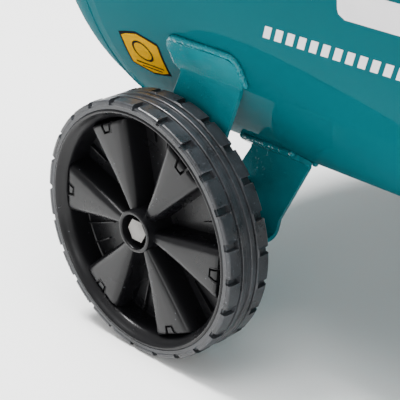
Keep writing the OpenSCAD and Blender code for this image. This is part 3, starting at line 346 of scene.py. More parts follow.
def bead_along(shape, path, side, radius, seed, closed=False):
    """Hand-laid weld bead along a path: ripples, and a width that wanders."""
    rng = random.Random(seed)
    step = 0.9
    line = []
    count = len(path) if closed else len(path) - 1
    for i in range(count):
        a, b = Vector(path[i]), Vector(path[(i + 1) % len(path)])
        n = max(1, round((b - a).length / step))
        line.extend(a.lerp(b, k / n) for k in range(n))
    if not closed:
        line.append(Vector(path[-1]))
    drift, widths, centres = 0.0, [], []
    for i, p in enumerate(line):
        drift = 0.86 * drift + 0.14 * rng.uniform(-1, 1)
        ripple = abs(math.sin(i * step / 3.4 * math.pi))
        widths.append(radius * (0.86 + 0.16 * ripple + 0.3 * drift))
        centres.append(p + Vector(side).normalized() * drift * radius * 0.5)
    if not closed:
        for end in (0, 1):
            for k in range(4):
                i = k if end == 0 else len(line) - 1 - k
                widths[i] *= math.sqrt(1 - (1 - k / 4) ** 2) + 0.15
    return shape.sweep(centres, widths, side, sides=10, closed=closed)


def on_tank(x, angle, lift=0.0):
    """Point over the front of the shell; the angle is above the horizontal, in radians."""
    r = TANK_R + lift
    return Vector((x, -r * math.cos(angle), TANK_Z + r * math.sin(angle)))


# ---- Materials ----

def node(tree, kind, settings=None, links=None):
    """Add a shader node; settings set its properties or sockets, and links feed its sockets."""
    new = tree.nodes.new("ShaderNode" + kind)
    for key, value in (settings or {}).items():
        if isinstance(key, str) and hasattr(new, key):
            setattr(new, key, value)
        else:
            new.inputs[key].default_value = value
    for key, source in (links or {}).items():
        tree.links.new(source, new.inputs[key])
    return new


def per(millimetres):
    """Texture scale at which one feature is that many millimetres across."""
    return 1 / (millimetres * MM)


def start(name):
    """A material with its shader, and the place on the object that its patterns follow."""
    finish = bpy.data.materials.new(name)
    finish.use_nodes = True
    tree = finish.node_tree
    tree.nodes.clear()
    shader = node(tree, "BsdfPrincipled")
    node(tree, "OutputMaterial", links={"Surface": shader.outputs["BSDF"]})
    place = node(tree, "TexCoord").outputs["Object"]
    return finish, tree, shader, place


def settle(tree, shader, colour=None, roughness=None, normal=None, **values):
    """Link what varies over the surface, and set what is the same all over."""
    for socket, source in (("Base Color", colour), ("Roughness", roughness), ("Normal", normal)):
        if source is None:
            continue
        if isinstance(source, (float, tuple)):
            shader.inputs[socket].default_value = source
        else:
            tree.links.new(source, shader.inputs[socket])
    for key, value in values.items():
        shader.inputs[key.replace("_", " ")].default_value = value


def shaded(colour_value, share):
    """A colour with its brightness multiplied."""
    return tuple(c * share for c in colour_value[:3]) + (1.0,)


def glossy_enamel():
    """Alkyd enamel, sprayed on rolled steel and stoved: wet gloss over a faint orange peel.

    A thin clear layer carries all the gloss, so the colour stays deep at low angles.
    """
    finish, tree, shader, place = start("glossy_enamel")
    cloud = node(tree, "TexNoise", {"Scale": per(160), "Detail": 3.0}, {"Vector": place})
    peel = node(tree, "TexNoise", {"Scale": per(3.2), "Detail": 2.0}, {"Vector": place})
    rolled = node(tree, "TexNoise", {"Scale": per(70), "Detail": 1.0}, {"Vector": place})
    shade = node(tree, "Mix", {"data_type": "RGBA", 6: colour("enamel"), 7: colour("enamel_deep")},
                 {0: cloud.outputs["Fac"]})
    haze = node(tree, "MapRange", {"From Min": 0.3, "From Max": 0.7, "To Min": 0.16, "To Max": 0.26},
                {"Value": cloud.outputs["Fac"]})
    waves = node(tree, "Bump", {"Strength": 0.35, "Distance": 0.6 * MM},
                 {"Height": rolled.outputs["Fac"]})
    skin = node(tree, "Bump", {"Strength": 0.10, "Distance": 0.12 * MM},
                {"Height": peel.outputs["Fac"], "Normal": waves.outputs["Normal"]})
    settle(tree, shader, shade.outputs[2], haze.outputs["Result"], skin.outputs["Normal"],
           Coat_Weight=0.07, Coat_Roughness=0.04, Specular_IOR_Level=0.0)
    return finish


def welded_enamel():
    """The same enamel over hot-rolled sheet and weld spatter: sharp sparkles on small lumps."""
    finish, tree, shader, place = start("welded_enamel")
    cloud = node(tree, "TexNoise", {"Scale": per(26), "Detail": 4.0}, {"Vector": place})
    # painted light: the cloud mixes the enamel with its lighter copy, which brightens the shaded
    # brackets, platform and welds
    shade = node(tree, "Mix", {"data_type": "RGBA", 6: colour("painted_light_enamel"), 7: colour("enamel")},
                 {0: cloud.outputs["Fac"]})
    lumps = node(tree, "TexNoise", {"Scale": per(2.1), "Detail": 3.0, "Roughness": 0.65},
                 {"Vector": place})
    spatter = node(tree, "TexVoronoi", {"Scale": per(3.4), "Randomness": 1.0}, {"Vector": place})
    drops = node(tree, "MapRange", {"From Min": 0.05, "From Max": 0.32, "To Min": 1.0, "To Max": 0.0},
                 {"Value": spatter.outputs["Distance"]})
    patches = node(tree, "MapRange", {"From Min": 0.48, "From Max": 0.62},
                   {"Value": cloud.outputs["Fac"]})
    rough = node(tree, "Math", {"operation": "MULTIPLY"},
                 {0: drops.outputs["Result"], 1: patches.outputs["Result"]})
    lumpy = node(tree, "Bump", {"Strength": 0.5, "Distance": 0.35 * MM},
                 {"Height": lumps.outputs["Fac"]})
    skin = node(tree, "Bump", {"Strength": 0.6, "Distance": 0.5 * MM},
                {"Height": rough.outputs["Value"], "Normal": lumpy.outputs["Normal"]})
    settle(tree, shader, shade.outputs[2], 0.2, skin.outputs["Normal"],
           Coat_Weight=0.4, Coat_Roughness=0.05, Specular_IOR_Level=0.05)
    return finish


def vulcanised_rubber():
    """Solid rubber pressed in a steel mould: satin black with a grey bloom, dusty specks and scuffs;
    the bloom grey is partly painted light.
    """
    finish, tree, shader, place = start("vulcanised_rubber")
    bloom = node(tree, "TexNoise", {"Scale": per(22), "Detail": 6.0, "Roughness": 0.62},
                 {"Vector": place})
    dust_and_painted_light = node(tree, "TexNoise", {"Scale": per(1.6), "Detail": 4.0, "Roughness": 0.7},
                {"Vector": place})
    specks = node(tree, "MapRange", {"From Min": 0.58, "From Max": 0.70},
                  {"Value": dust_and_painted_light.outputs["Fac"]})
    veil = node(tree, "MapRange", {"From Min": 0.35, "From Max": 0.75, "To Max": 0.3},
                {"Value": bloom.outputs["Fac"]})
    amount = node(tree, "Math", {"operation": "MAXIMUM"},
                  {0: specks.outputs["Result"], 1: veil.outputs["Result"]})
    # partly painted light: the specks and bloom bring in a grey that is lighter than real bloom, to
    # brighten the tread in the tank's shade
    shade = node(tree, "Mix", {"data_type": "RGBA", 6: colour("tyre"), 7: colour("dust_and_painted_light")},
                 {0: amount.outputs["Value"]})
    worn = node(tree, "MapRange", {"From Min": 0.3, "From Max": 0.7, "To Min": 0.22, "To Max": 0.42},
                {"Value": bloom.outputs["Fac"]})
    skin = node(tree, "Bump", {"Strength": 0.5, "Distance": 0.2 * MM},
                {"Height": dust_and_painted_light.outputs["Fac"]})
    settle(tree, shader, shade.outputs[2], worn.outputs["Result"], skin.outputs["Normal"],
           IOR=1.52, Specular_IOR_Level=0.3)
    return finish


def moulded_polypropylene():
    """Filled polypropylene from a spark-eroded mould: soft sheen, fine grain and a few nicks.

    The real grain of about 0.2 mm is drawn at 0.9 mm so that it shows.
    """
    finish, tree, shader, place = start("moulded_polypropylene")
    flow = node(tree, "TexNoise", {"Scale": per(34), "Detail": 4.0}, {"Vector": place})
    grain = node(tree, "TexNoise", {"Scale": per(0.9), "Detail": 2.0}, {"Vector": place})
    nicks = node(tree, "TexVoronoi", {"Scale": per(9)}, {"Vector": place})
    nick = node(tree, "MapRange", {"From Min": 0.03, "From Max": 0.07, "To Min": 1.0, "To Max": 0.0},
                {"Value": nicks.outputs["Distance"]})
    shade = node(tree, "Mix", {"data_type": "RGBA", 6: colour("rim"), 7: colour("dust_and_painted_light")},
                 {0: nick.outputs["Result"]})
    sheen = node(tree, "MapRange", {"From Min": 0.3, "From Max": 0.7, "To Min": 0.24, "To Max": 0.34},
                 {"Value": flow.outputs["Fac"]})
    skin = node(tree, "Bump", {"Strength": 0.14, "Distance": 0.12 * MM},
                {"Height": grain.outputs["Fac"]})
    settle(tree, shader, shade.outputs[2], sheen.outputs["Result"], skin.outputs["Normal"],
           IOR=1.49, Specular_IOR_Level=0.22)
    return finish


def powder_coat(name, tone, grit=1.1, low=0.38, high=0.5):
    """Polyester powder baked on steel: even satin with a fine orange peel."""
    finish, tree, shader, place = start(name)
    peel = node(tree, "TexNoise", {"Scale": per(grit), "Detail": 2.0}, {"Vector": place})
    wear = node(tree, "TexNoise", {"Scale": per(45), "Detail": 5.0, "Roughness": 0.6},
                {"Vector": place})
    shade = node(tree, "Mix", {"data_type": "RGBA", 6: colour(tone), 7: colour("dust_and_painted_light")},
                 {0: node(tree, "MapRange", {"From Min": 0.45, "From Max": 0.85, "To Max": 0.3},
                          {"Value": wear.outputs["Fac"]}).outputs["Result"]})
    satin = node(tree, "MapRange", {"From Min": 0.3, "From Max": 0.7, "To Min": low, "To Max": high},
                 {"Value": wear.outputs["Fac"]})
    skin = node(tree, "Bump", {"Strength": 0.3, "Distance": 0.1 * MM},
                {"Height": peel.outputs["Fac"]})
    settle(tree, shader, shade.outputs[2], satin.outputs["Result"], skin.outputs["Normal"])
    return finish


def sand_cast(name, tone, metallic, grit, low, high):
    """Metal poured in sand, shot-blasted: a coarse even skin that breaks up the light."""
    finish, tree, shader, place = start(name)
    sand = node(tree, "TexNoise", {"Scale": per(grit), "Detail": 5.0, "Roughness": 0.7},
                {"Vector": place})
    stain = node(tree, "TexNoise", {"Scale": per(38), "Detail": 4.0}, {"Vector": place})
    deep = shaded(colour(tone), 0.72)
    shade = node(tree, "Mix", {"data_type": "RGBA", 6: colour(tone), 7: deep},
                 {0: stain.outputs["Fac"]})
    rough = node(tree, "MapRange", {"From Min": 0.3, "From Max": 0.7, "To Min": low, "To Max": high},
                 {"Value": sand.outputs["Fac"]})
    skin = node(tree, "Bump", {"Strength": 0.55, "Distance": 0.25 * MM},
                {"Height": sand.outputs["Fac"]})
    settle(tree, shader, shade.outputs[2], rough.outputs["Result"], skin.outputs["Normal"],
           Metallic=metallic)
    return finish


def turned_metal(name, tone, low, high, lines=0.35):
    """Metal turned on a lathe or drawn through a die: fine tool lines along one way.

    The real lines of about 0.1 mm are drawn at 0.35 mm or more so that they show.
    """
    finish, tree, shader, place = start(name)
    long_way = node(tree, "Mapping", {"Scale": (1.0, 0.06, 1.0)}, {"Vector": place})
    tool = node(tree, "TexNoise", {"Scale": per(lines), "Detail": 3.0},
                {"Vector": long_way.outputs["Vector"]})
    tarnish = node(tree, "TexNoise", {"Scale": per(14), "Detail": 5.0, "Roughness": 0.6},
                   {"Vector": place})
    dull = shaded(colour(tone), 0.68)
    shade = node(tree, "Mix", {"data_type": "RGBA", 6: colour(tone), 7: dull},
                 {0: node(tree, "MapRange", {"From Min": 0.4, "From Max": 0.8},
                          {"Value": tarnish.outputs["Fac"]}).outputs["Result"]})
    rough = node(tree, "MapRange", {"From Min": 0.3, "From Max": 0.7, "To Min": low, "To Max": high},
                 {"Value": tarnish.outputs["Fac"]})
    skin = node(tree, "Bump", {"Strength": 0.12, "Distance": 0.05 * MM},
                {"Height": tool.outputs["Fac"]})
    settle(tree, shader, shade.outputs[2], rough.outputs["Result"], skin.outputs["Normal"],
           Metallic=1.0)
    return finish


def grained_abs(name, tone, low=0.4, high=0.52, grain=1.0):
    """ABS moulded in an etched tool: even grain and a dull sheen, drawn coarser than real."""
    finish, tree, shader, place = start(name)
    etched = node(tree, "TexVoronoi", {"Scale": per(grain)}, {"Vector": place})
    hands = node(tree, "TexNoise", {"Scale": per(30), "Detail": 4.0}, {"Vector": place})
    lighter = tuple(min(1.0, c * 1.5 + 0.004) for c in colour(tone)[:3]) + (1.0,)
    shade = node(tree, "Mix", {"data_type": "RGBA", 6: colour(tone), 7: lighter},
                 {0: hands.outputs["Fac"]})
    sheen = node(tree, "MapRange", {"From Min": 0.3, "From Max": 0.7, "To Min": low, "To Max": high},
                 {"Value": hands.outputs["Fac"]})
    skin = node(tree, "Bump", {"Strength": 0.2, "Distance": 0.08 * MM},
                {"Height": etched.outputs["Distance"]})
    settle(tree, shader, shade.outputs[2], sheen.outputs["Result"], skin.outputs["Normal"],
           IOR=1.53)
    return finish


def foam_rubber():
    """Closed-cell foam sleeve: matt, with pin-sized cells and finger wear."""
    finish, tree, shader, place = start("foam_rubber")
    cells = node(tree, "TexVoronoi", {"Scale": per(1.2)}, {"Vector": place})
    wear = node(tree, "TexNoise", {"Scale": per(25), "Detail": 3.0}, {"Vector": place})
    shade = node(tree, "Mix", {"data_type": "RGBA", 6: colour("grip"), 7: colour("dust_and_painted_light")},
                 {0: node(tree, "MapRange", {"From Min": 0.5, "From Max": 0.9, "To Max": 0.35},
                          {"Value": wear.outputs["Fac"]}).outputs["Result"]})
    skin = node(tree, "Bump", {"Strength": 0.7, "Distance": 0.25 * MM},
                {"Height": cells.outputs["Distance"]})
    settle(tree, shader, shade.outputs[2], 0.86, skin.outputs["Normal"], IOR=1.45)
    return finish


def printed_film(name, tone, rough=0.32, gloss=0.2):
    """Cast vinyl film with a screen print: flat colour, soft gloss, the paint showing through."""
    finish, tree, shader, place = start(name)
    under = node(tree, "TexNoise", {"Scale": per(2.6), "Detail": 2.0}, {"Vector": place})
    fade = node(tree, "TexNoise", {"Scale": per(24), "Detail": 3.0}, {"Vector": place})
    darker = shaded(colour(tone), 0.86)
    shade = node(tree, "Mix", {"data_type": "RGBA", 6: colour(tone), 7: darker},
                 {0: fade.outputs["Fac"]})
    skin = node(tree, "Bump", {"Strength": 0.08, "Distance": 0.08 * MM},
                {"Height": under.outputs["Fac"]})
    settle(tree, shader, shade.outputs[2], rough, skin.outputs["Normal"],
           Specular_IOR_Level=gloss)
    return finish


def clear_polycarbonate():
    """Clear moulded window: see-through, with a faint scuff in its gloss."""
    finish, tree, shader, place = start("clear_polycarbonate")
    scuff = node(tree, "TexNoise", {"Scale": per(6), "Detail": 5.0}, {"Vector": place})
    rough = node(tree, "MapRange", {"From Min": 0.4, "From Max": 0.8, "To Min": 0.02, "To Max": 0.12},
                 {"Value": scuff.outputs["Fac"]})
    settle(tree, shader, (0.96, 0.98, 0.98, 1.0), rough.outputs["Result"],
           Transmission_Weight=1.0, IOR=1.58)
    return finish


def studio_paper():
    """Matt seamless paper with a slight tooth."""
    finish, tree, shader, place = start("studio_paper")
    tooth = node(tree, "TexNoise", {"Scale": per(4), "Detail": 3.0}, {"Vector": place})
    tone = shaded(colour("floor"), 0.985)
    shade = node(tree, "Mix", {"data_type": "RGBA", 6: colour("floor"), 7: tone},
                 {0: tooth.outputs["Fac"]})
    settle(tree, shader, shade.outputs[2], 0.75, Specular_IOR_Level=0.25)
    return finish


FINISHES = {}


def make_finishes():
    """Make every material once, from the sidebar's colours."""
    FINISHES.update({
        "enamel": glossy_enamel(),
        "welded": welded_enamel(),
        "tyre": vulcanised_rubber(),
        "rim": moulded_polypropylene(),
        "black": powder_coat("satin_powder_coat", "black"),
        "iron": sand_cast("painted_grey_iron", "iron", 0.25, 1.3, 0.42, 0.62),
        "zinc": turned_metal("zinc_plated_steel", "zinc", 0.22, 0.38),
        "bolt": turned_metal("oiled_steel_bolt", "bolt", 0.2, 0.34),
        "alloy": sand_cast("die_cast_aluminium", "alloy", 1.0, 0.8, 0.34, 0.5),
        "steel": turned_metal("turned_steel", "steel", 0.24, 0.36),
        "brass": turned_metal("machined_brass", "brass", 0.18, 0.32),
        "copper": turned_metal("drawn_copper", "copper", 0.2, 0.36, 0.6),
        "abs": grained_abs("grained_black_abs", "casing"),
        "red": grained_abs("gloss_red_abs", "red", 0.2, 0.3, 2.0),
        "rubber": grained_abs("soft_black_rubber", "grip", 0.6, 0.75, 0.8),
        "grip": foam_rubber(),
        "yellow": printed_film("yellow_vinyl_film", "sticker", 0.5, 0.0),
        "white": printed_film("white_vinyl_film", "film", 0.24),
        "ink": printed_film("black_screen_ink", "black", 0.5, 0.0),
        "lens": clear_polycarbonate(),
        "sight": printed_film("mineral_oil", "oil", 0.1),
        "paper": studio_paper(),
    })


# ---- Wheels ----

TREAD_START = -4.0


def tyre_shape(side):
    """Solid tyre: ribs in the middle, and blocks with pockets between them at both shoulders."""
    blocks = sizes().tread_blocks
    cut = sizes().pocket_depth / MM
    wide = sizes().pocket / MM / TYRE_R
    half = TURN / blocks / 2
    crown = TYRE_R - 0.55
    floor = crown - 1.5
    rim_edge = 10.9
    # (radius, depth behind the wheel's face), here and in the rim
    wall = [(LIP_R, 6.0), (LIP_R, 0.95), (LIP_R + 0.4, 0.5), (95.6, 0.4), (95.9, 0.06), (96.8, 0.06),
            (97.1, 0.4), (98.2, 0.5), (98.9, 0.85), (99.4, 1.7), (crown, 3.0)]
    shoulder = [(crown, rim_edge - 1.1), (crown, rim_edge - 0.6), (crown, rim_edge), (crown, 11.6)]
    ribs = [(crown - 0.3, 12.0), (floor, 12.3), (floor, 13.6), (crown - 0.3, 13.9), (crown, 14.4),
            (crown, 17.4), (crown - 0.3, 17.9), (floor, 18.3)]
    front = wall + shoulder + ribs
    profile = front + [(r, TYRE_W - d) for r, d in front[::-1]]
    profile += [(LIP_R - 4.5, TYRE_W - 8), (LIP_R - 4.5, 8)]
    steps = [(0.0, "edge"), (0.0022, "in"), (wide - 0.0022, "in"), (wide, "edge"),
             (wide + 0.008, "out"), ((wide + half) / 2, "out"), (half - 0.008, "out")]
    put = about_y(WHEEL_X, WHEEL_Z, FACE_Y, side)
    columns = []
    first = math.radians(TREAD_START)
    for k in range(2 * blocks):
        for turn, place in steps:
            column = []
            for r, d in profile:
                near = min(d, TYRE_W - d)
                mine = (d < TYRE_W / 2) == (k % 2 == 0) and near < rim_edge + 0.1 and r > 95.8
                if mine and place == "in" and near < rim_edge - 0.9:
                    r = min(r, crown - cut)
                    near = max(near, 1.5)
                elif mine and place != "out" and r == crown:
                    r = TYRE_R
                column.append((r, near if d < TYRE_W / 2 else TYRE_W - near))
            columns.append([put(r, first + k * half + turn, d) for r, d in column])
    return Shape().grid(columns, around=True, along=True)


WEB_D = 25.0
TOP_D = 5.0
SPOKE_START = -5.0
BARREL_R = 84.3


def spoke_half(r):
    """Half width of a spoke at a radius."""
    return 4.0 + 0.25 * (r - 16)


def spoke_shape(put_flat):
    """One wedge spoke with rounded shoulders; put_flat maps radius, sideways and depth."""
    # (radius, how far the top drops there)
    stations = [(13.6, 0), (18, 0), (30, 0), (45, 0), (60, 0), (72, 0), (79.0, 0), (80.6, 0.25),
                (81.6, 1.0), (82.1, 2.4), (82.4, 5.0), (82.6, WEB_D)]
    rings = []
    for r, drop in stations:
        w = spoke_half(r)
        s = min(1.0, w / 10)
        # (sideways, depth) from the web up over the rounded shoulder
        half = [(w + 1.8, WEB_D + 0.6), (w + 1.0, 16), (w + 0.4, 11.6), (w - 0.2 * s, 9.2),
                (w - 1.1 * s, 7.5), (w - 2.4 * s, 6.3), (w - 4.0 * s, 5.5), (w - 6.2 * s, 5.1),
                (w * 0.2, TOP_D)]
        outline = half + [(-t, d) for t, d in half[::-1]]
        rings.append([put_flat(r, t, min(d + drop, WEB_D + 0.6)) for t, d in outline])
    return Shape().loft(rings)


def rim_shape(side):
    """Moulded rim: lip, barrel, web and hub in one turn, with spokes, catches and ribs."""
    put = about_y(WHEEL_X, WHEEL_Z, FACE_Y, side)
    back = TYRE_W - 0.6
    bore = 8.06
    cup = 13.2
    turned = [(LIP_R, 0.95), (92.0, 0.25), (91.3, 0.05), (90.7, 0.15), (90.1, 0.7), (89.0, 2.6),
              (87.4, 4.8), (85.8, 6.6), (84.9, 8.4), (84.5, 11.0), (BARREL_R, 16.0),
              (BARREL_R - 0.1, 24.2), (83.6, 24.9), (82.6, WEB_D), (50, WEB_D), (18.4, WEB_D),
              (17.2, 24.6), (16.7, 23.6), (16.4, 10), (16.4, 1.2), (16.2, 0.5), (15.7, 0.1),
              (15.2, 0.0), (14.3, 0.0), (13.8, 0.1), (13.4, 0.5), (cup, 1.2), (cup, 11.2),
              (12.8, 11.9), (bore, 12.0), (bore, HUB_END), (16.4, HUB_END), (16.4, 28.5), (18, 28),
              (83, 28), (BARREL_R, 30), (86, TYRE_W - 6), (89.6, back), (LIP_R, back),
              (LIP_R, TYRE_W - 6), (LIP_R - 4.5, TYRE_W - 8), (LIP_R - 4.5, 8), (LIP_R, 6)]
    rim = Shape().lathe(turned, put, 192)
    spokes, grooves, ridges = Shape(), Shape(), Shape()
    count = sizes().spokes
    for i in range(count):
        turn = math.radians(SPOKE_START) + TURN * i / count

        def flat(r, t, d, turn=turn):
            x = r * math.cos(turn) - t * math.sin(turn)
            z = r * math.sin(turn) + t * math.cos(turn)
            return (WHEEL_X + x, side * (FACE_Y + d), WHEEL_Z + z)

        spokes.add(spoke_shape(flat))
        inner, outer, line = 74.6, 84.0, 1.5
        narrow, broad = 3.6, 5.9
        catch = [(outer, broad), (inner, narrow), (inner, -narrow), (outer, -broad),
                 (outer, -broad + line), (inner + line, -narrow + line),
                 (inner + line, narrow - line), (outer, broad - line)]
        grooves.loft([[flat(r, t, d) for r, t in catch] for d in (TOP_D - 2, TOP_D + 2.6)])
        edge = [(81.2, broad + 0.1), (inner - 0.3, narrow + 0.5), (inner - 0.3, -narrow - 0.5),
                (81.2, -broad - 0.1)]
        ridges.sweep([flat(r, t, TOP_D + 0.12) for r, t in edge], 0.42, (0, 1, 0), 8)
        between = turn + TURN / count / 2
        for lean, r0, r1 in ((-0.10, 52, 83), (0.10, 64, 83)):
            c, s = math.cos(between + lean), math.sin(between + lean)
            rings = []
            for r, h in ((r0, 0.4), (r0 + 0.8, 1.6), (r1, 3.6)):
                ring = []
                for t, d in ((-0.8, WEB_D + 0.5), (-0.5, WEB_D - h), (0.5, WEB_D - h),
                             (0.8, WEB_D + 0.5)):
                    ring.append((WHEEL_X + r * c - t * s, side * (FACE_Y + d),
                                 WHEEL_Z + r * s + t * c))
                rings.append(ring)
            ridges.loft(rings)
    return rim.add(spokes.carved(grooves)).add(ridges)


class COMPRESSOR_OT_wheels(bpy.types.Operator):
    """Mould both solid tyres and both rims"""
    bl_idname = "compressor.wheels"
    bl_label = "Wheels"

    def execute(self, context):
        for end, side in (("front", 1), ("rear", -1)):
            body = end + "_wheel"
            piece(end + "_tyre_moulded", tyre_shape(side), FINISHES["tyre"], body,
                  [end + "_tyre"], sharp=28)
            piece(end + "_rim_moulded", rim_shape(side), FINISHES["rim"], body,
                  [end + "_rim"], sharp=34)
        finish_nodes((("wheel_bolts", "bolt", 0.5), ("wheel_sleeves", "zinc", 0.4),
                      ("wheel_nuts", "zinc", 0.4)))
        return {"FINISHED"}


# ---- Tank ----

WALL = 3.5
SKIRT = 16
FITTING_LOW = 450


def shell_shape():
    """Rolled shell with a joggle at each end, where it laps over the heads."""
    # (distance from the shell's end, radius on a shell of 215)
    lap = [(0.0, 213.3), (0.5, 213.9), (2.0, 214.2), (8.2, 214.3), (9.4, 214.75), (11.5, 215.0)]
    lap = [(d, r + TANK_R - 215) for d, r in lap]
    long = TANK_X1 - TANK_X0
    outside = [(r, d) for d, r in lap] + [(r, long - d) for d, r in lap[::-1]]
    inside = [(TANK_R - WALL, long), (TANK_R - WALL, 0)]
    return Shape().lathe(outside + inside, about_x(0, TANK_Z, TANK_X0), 256)


def head_shape(side, seam):
    """Dished head with its skirt, as a closed shell."""
    steps = 40
    r0 = TANK_R - WALL
    outer = [(r0 * math.cos(TURN / 4 * i / steps), HEAD_DEPTH * math.sin(TURN / 4 * i / steps))
             for i in range(steps)] + [(0.4, HEAD_DEPTH)]
    inner = [(max(0.3, r * (r0 - WALL) / r0), d * (HEAD_DEPTH - WALL) / HEAD_DEPTH)
             for r, d in outer[::-1]]
    profile = [(r0, -SKIRT)] + outer + inner + [(r0 - WALL, -SKIRT)]
    return Shape().lathe(profile, about_x(0, TANK_Z, seam, side), 256)


def ring_path(x, r, steps=720):
    """Circle round the tank's axis."""
    return [(x, r * math.cos(TURN * i / steps), TANK_Z + r * math.sin(TURN * i / steps))
            for i in range(steps)]


class COMPRESSOR_OT_tank(bpy.types.Operator):
    """Roll the shell, press the heads and lay the round seams"""
    bl_idname = "compressor.tank"
    bl_label = "Tank"

    def execute(self, context):
        bead = sizes().bead / MM
        shell = shell_shape()
        fit_y = middle("switch_knob").y
        fit_top = corners("check_valve")[0].z + 18
        for x, y, low, high in (
                (middle("delivery_pipe").x, fit_y, FITTING_LOW, fit_top),
                (middle("switch_knob").x, fit_y, FITTING_LOW, fit_top),
                (middle("drain_valve").x, 0, shell_low.z, shell_low.z + 12)):
            boss = [(16.2, low), (17, low + 0.8), (17, high - 0.8), (16.2, high), (8, high),
                    (8, low)]
            shell.lathe(boss, about_z(x, y), 64)
        piece("tank_shell_rolled", shell, FINISHES["enamel"], "root",
              ["tank_shell"], sharp=30)
        seams = Shape()
        for x in (TANK_X0 - 0.8, TANK_X1 + 0.8):
            bead_along(seams, ring_path(x, TANK_R - 2.6), (1, 0, 0), bead * 0.8, 3, closed=True)
        piece("seam_welds", seams, FINISHES["enamel"], "root")
        piece("wheel_end_head_pressed", head_shape(-1, TANK_X0), FINISHES["enamel"], "root",
              ["wheel_end_head"])
        handle_head = head_shape(1, TANK_X1)
        end = HEAD_DEPTH
        boss = [(18.2, end + 4), (19, end + 3), (19, end - 12), (10.5, end - 12), (10.5, end + 4)]
        handle_head.lathe(boss, about_x(0, TANK_Z, TANK_X1), 64)
        piece("handle_end_head_pressed", handle_head, FINISHES["enamel"], "root",
              ["handle_end_head"])
        finish_node("tank_plug", FINISHES["zinc"], 0.8)
        return {"FINISHED"}


# ---- Wheel brackets ----

def eased(points, reach, steps=6):
    """Round each inner corner of a path, starting that far before it."""
    line = [Vector(points[0])]
    for a, b, c, near in zip(points, points[1:], points[2:], reach):
        a, b, c = Vector(a), Vector(b), Vector(c)
        start = b + (a - b).normalized() * near
        end = b + (c - b).normalized() * near
        for k in range(steps + 1):
            t = k / steps
            line.append((1 - t) ** 2 * start + 2 * t * (1 - t) * b + t ** 2 * end)
    line.append(Vector(points[-1]))
    return line


def stepped(table, value):
    """Straight-line reading of a table of (value, result) rows, rising in value."""
    if value <= table[0][0]:
        return table[0][1]
    for (v0, r0), (v1, r1) in zip(table, table[1:]):
        if value <= v1:
            return r0 + (r1 - r0) * (value - v0) / (v1 - v0)
    return table[-1][1]


LEG_MID = -189.4
FLANGE_R = TANK_R + 2.1
FLANGE_TOP = 21.5
FLANGE_CORNER = 9.0
FLANGE_FROM, FLANGE_TO = -1, 67
FAR_CORNER = 6.0
# angle down the tank in degrees, and how far the bead's middle stands off the shell
FAR_WELDS = ((52.7, 1.2), (61.0, 0.6))
FAR_WELD_ENDS = (4, 60)


def tank_arc(a, r=FLANGE_R):
    """Point in the YZ plane over the shell, at an angle below the horizontal in degrees."""
    t = math.radians(a)
    return (-r * math.cos(t), TANK_Z - r * math.sin(t))


def corner_inset(radius, along):
    """How far a round corner draws the edge in, at a distance from the end of the sheet."""
    return radius - math.sqrt(max(0, radius ** 2 - max(0, radius - along) ** 2))


def bracket_shape(side):
    """One sheet, folded: flange on the tank, leg, floor, far leg and its own flange."""
    fold = math.degrees(math.acos(-LEG_MID / FLANGE_R))
    far_mid = bracket_high.y - SHEET / 2
    far_fold = math.degrees(math.acos(-far_mid / FLANGE_R))
    floor = bracket_low.z + SHEET / 2
    arc = [tank_arc(FLANGE_TOP + (fold - FLANGE_TOP) * i / 24) for i in range(25)]
    far_arc = [tank_arc(far_fold + (53.1 - far_fold) * i / 10) for i in range(11)]
    knees = [(LEG_MID, 190), (LEG_MID, 165), (LEG_MID, 138), (LEG_MID, 112), (LEG_MID, 88)]
    path = arc + knees + [(LEG_MID, floor), (far_mid, floor), (far_mid, 80), (far_mid, 108)]
    path += far_arc
    # the four folds are rounded; every other corner of the path stays as it is
    reach = [0.1] * (len(path) - 2)
    reach[23] = 7.0
    reach[29], reach[30] = 8.0, 8.0
    reach[32] = 7.0
    line = eased([Vector(p) for p in path], reach, 6)
    dense = [line[0]]
    for p in line[1:]:
        gap = (p - dense[-1]).length
        if gap > 0.3:
            count = max(1, math.ceil(gap / 4))
            dense.extend(dense[-1].lerp(p, 1 / (count - k)) for k in range(count))
    walked = [0.0]
    for a, b in zip(dense, dense[1:]):
        walked.append(walked[-1] + (b - a).length)
    fold_s = FLANGE_R * math.radians(fold - FLANGE_TOP)
    rings = []
    rows = len(dense)
    for i, p in enumerate(dense):
        s, y, z = walked[i], p.x, p.y
        ahead, behind = dense[min(i + 1, rows - 1)], dense[max(i - 1, 0)]
        way = (ahead - behind).normalized()
        out = Vector((way.y, -way.x)) * SHEET / 2
        near = y < (LEG_MID + far_mid) / 2
        # (height, edge along X) rows: the leg narrows down to its foot
        if near:
            low = stepped([(floor, -32), (138, -33), (214, 2)], z)
            high = stepped([(floor, 29), (138, 33), (214, 62)], z)
            if s < fold_s - 2:
                round_in = corner_inset(FLANGE_CORNER, s)
                up = min(1.0, max(0.0, (fold_s - 2 - s) / 7))
                up = math.sqrt(1 - (1 - up) ** 2)
                low = low * (1 - up) + FLANGE_FROM * up + round_in
                high = high * (1 - up) + FLANGE_TO * up - round_in
        else:
            low = stepped([(floor, -32), (80, -33), (133, 2)], z)
            high = stepped([(floor, 29), (80, 33), (133, 62)], z)
            round_in = corner_inset(FAR_CORNER, walked[-1] - s)
            low, high = low + round_in, high - round_in
        a, b = p + out, p - out
        ring = []
        for x, c in ((low, a), (high, a), (high, b), (low, b)):
            ring.append((WHEEL_X + x, side * c.x, c.y))
        rings.append(ring)
    return Shape().loft(rings)


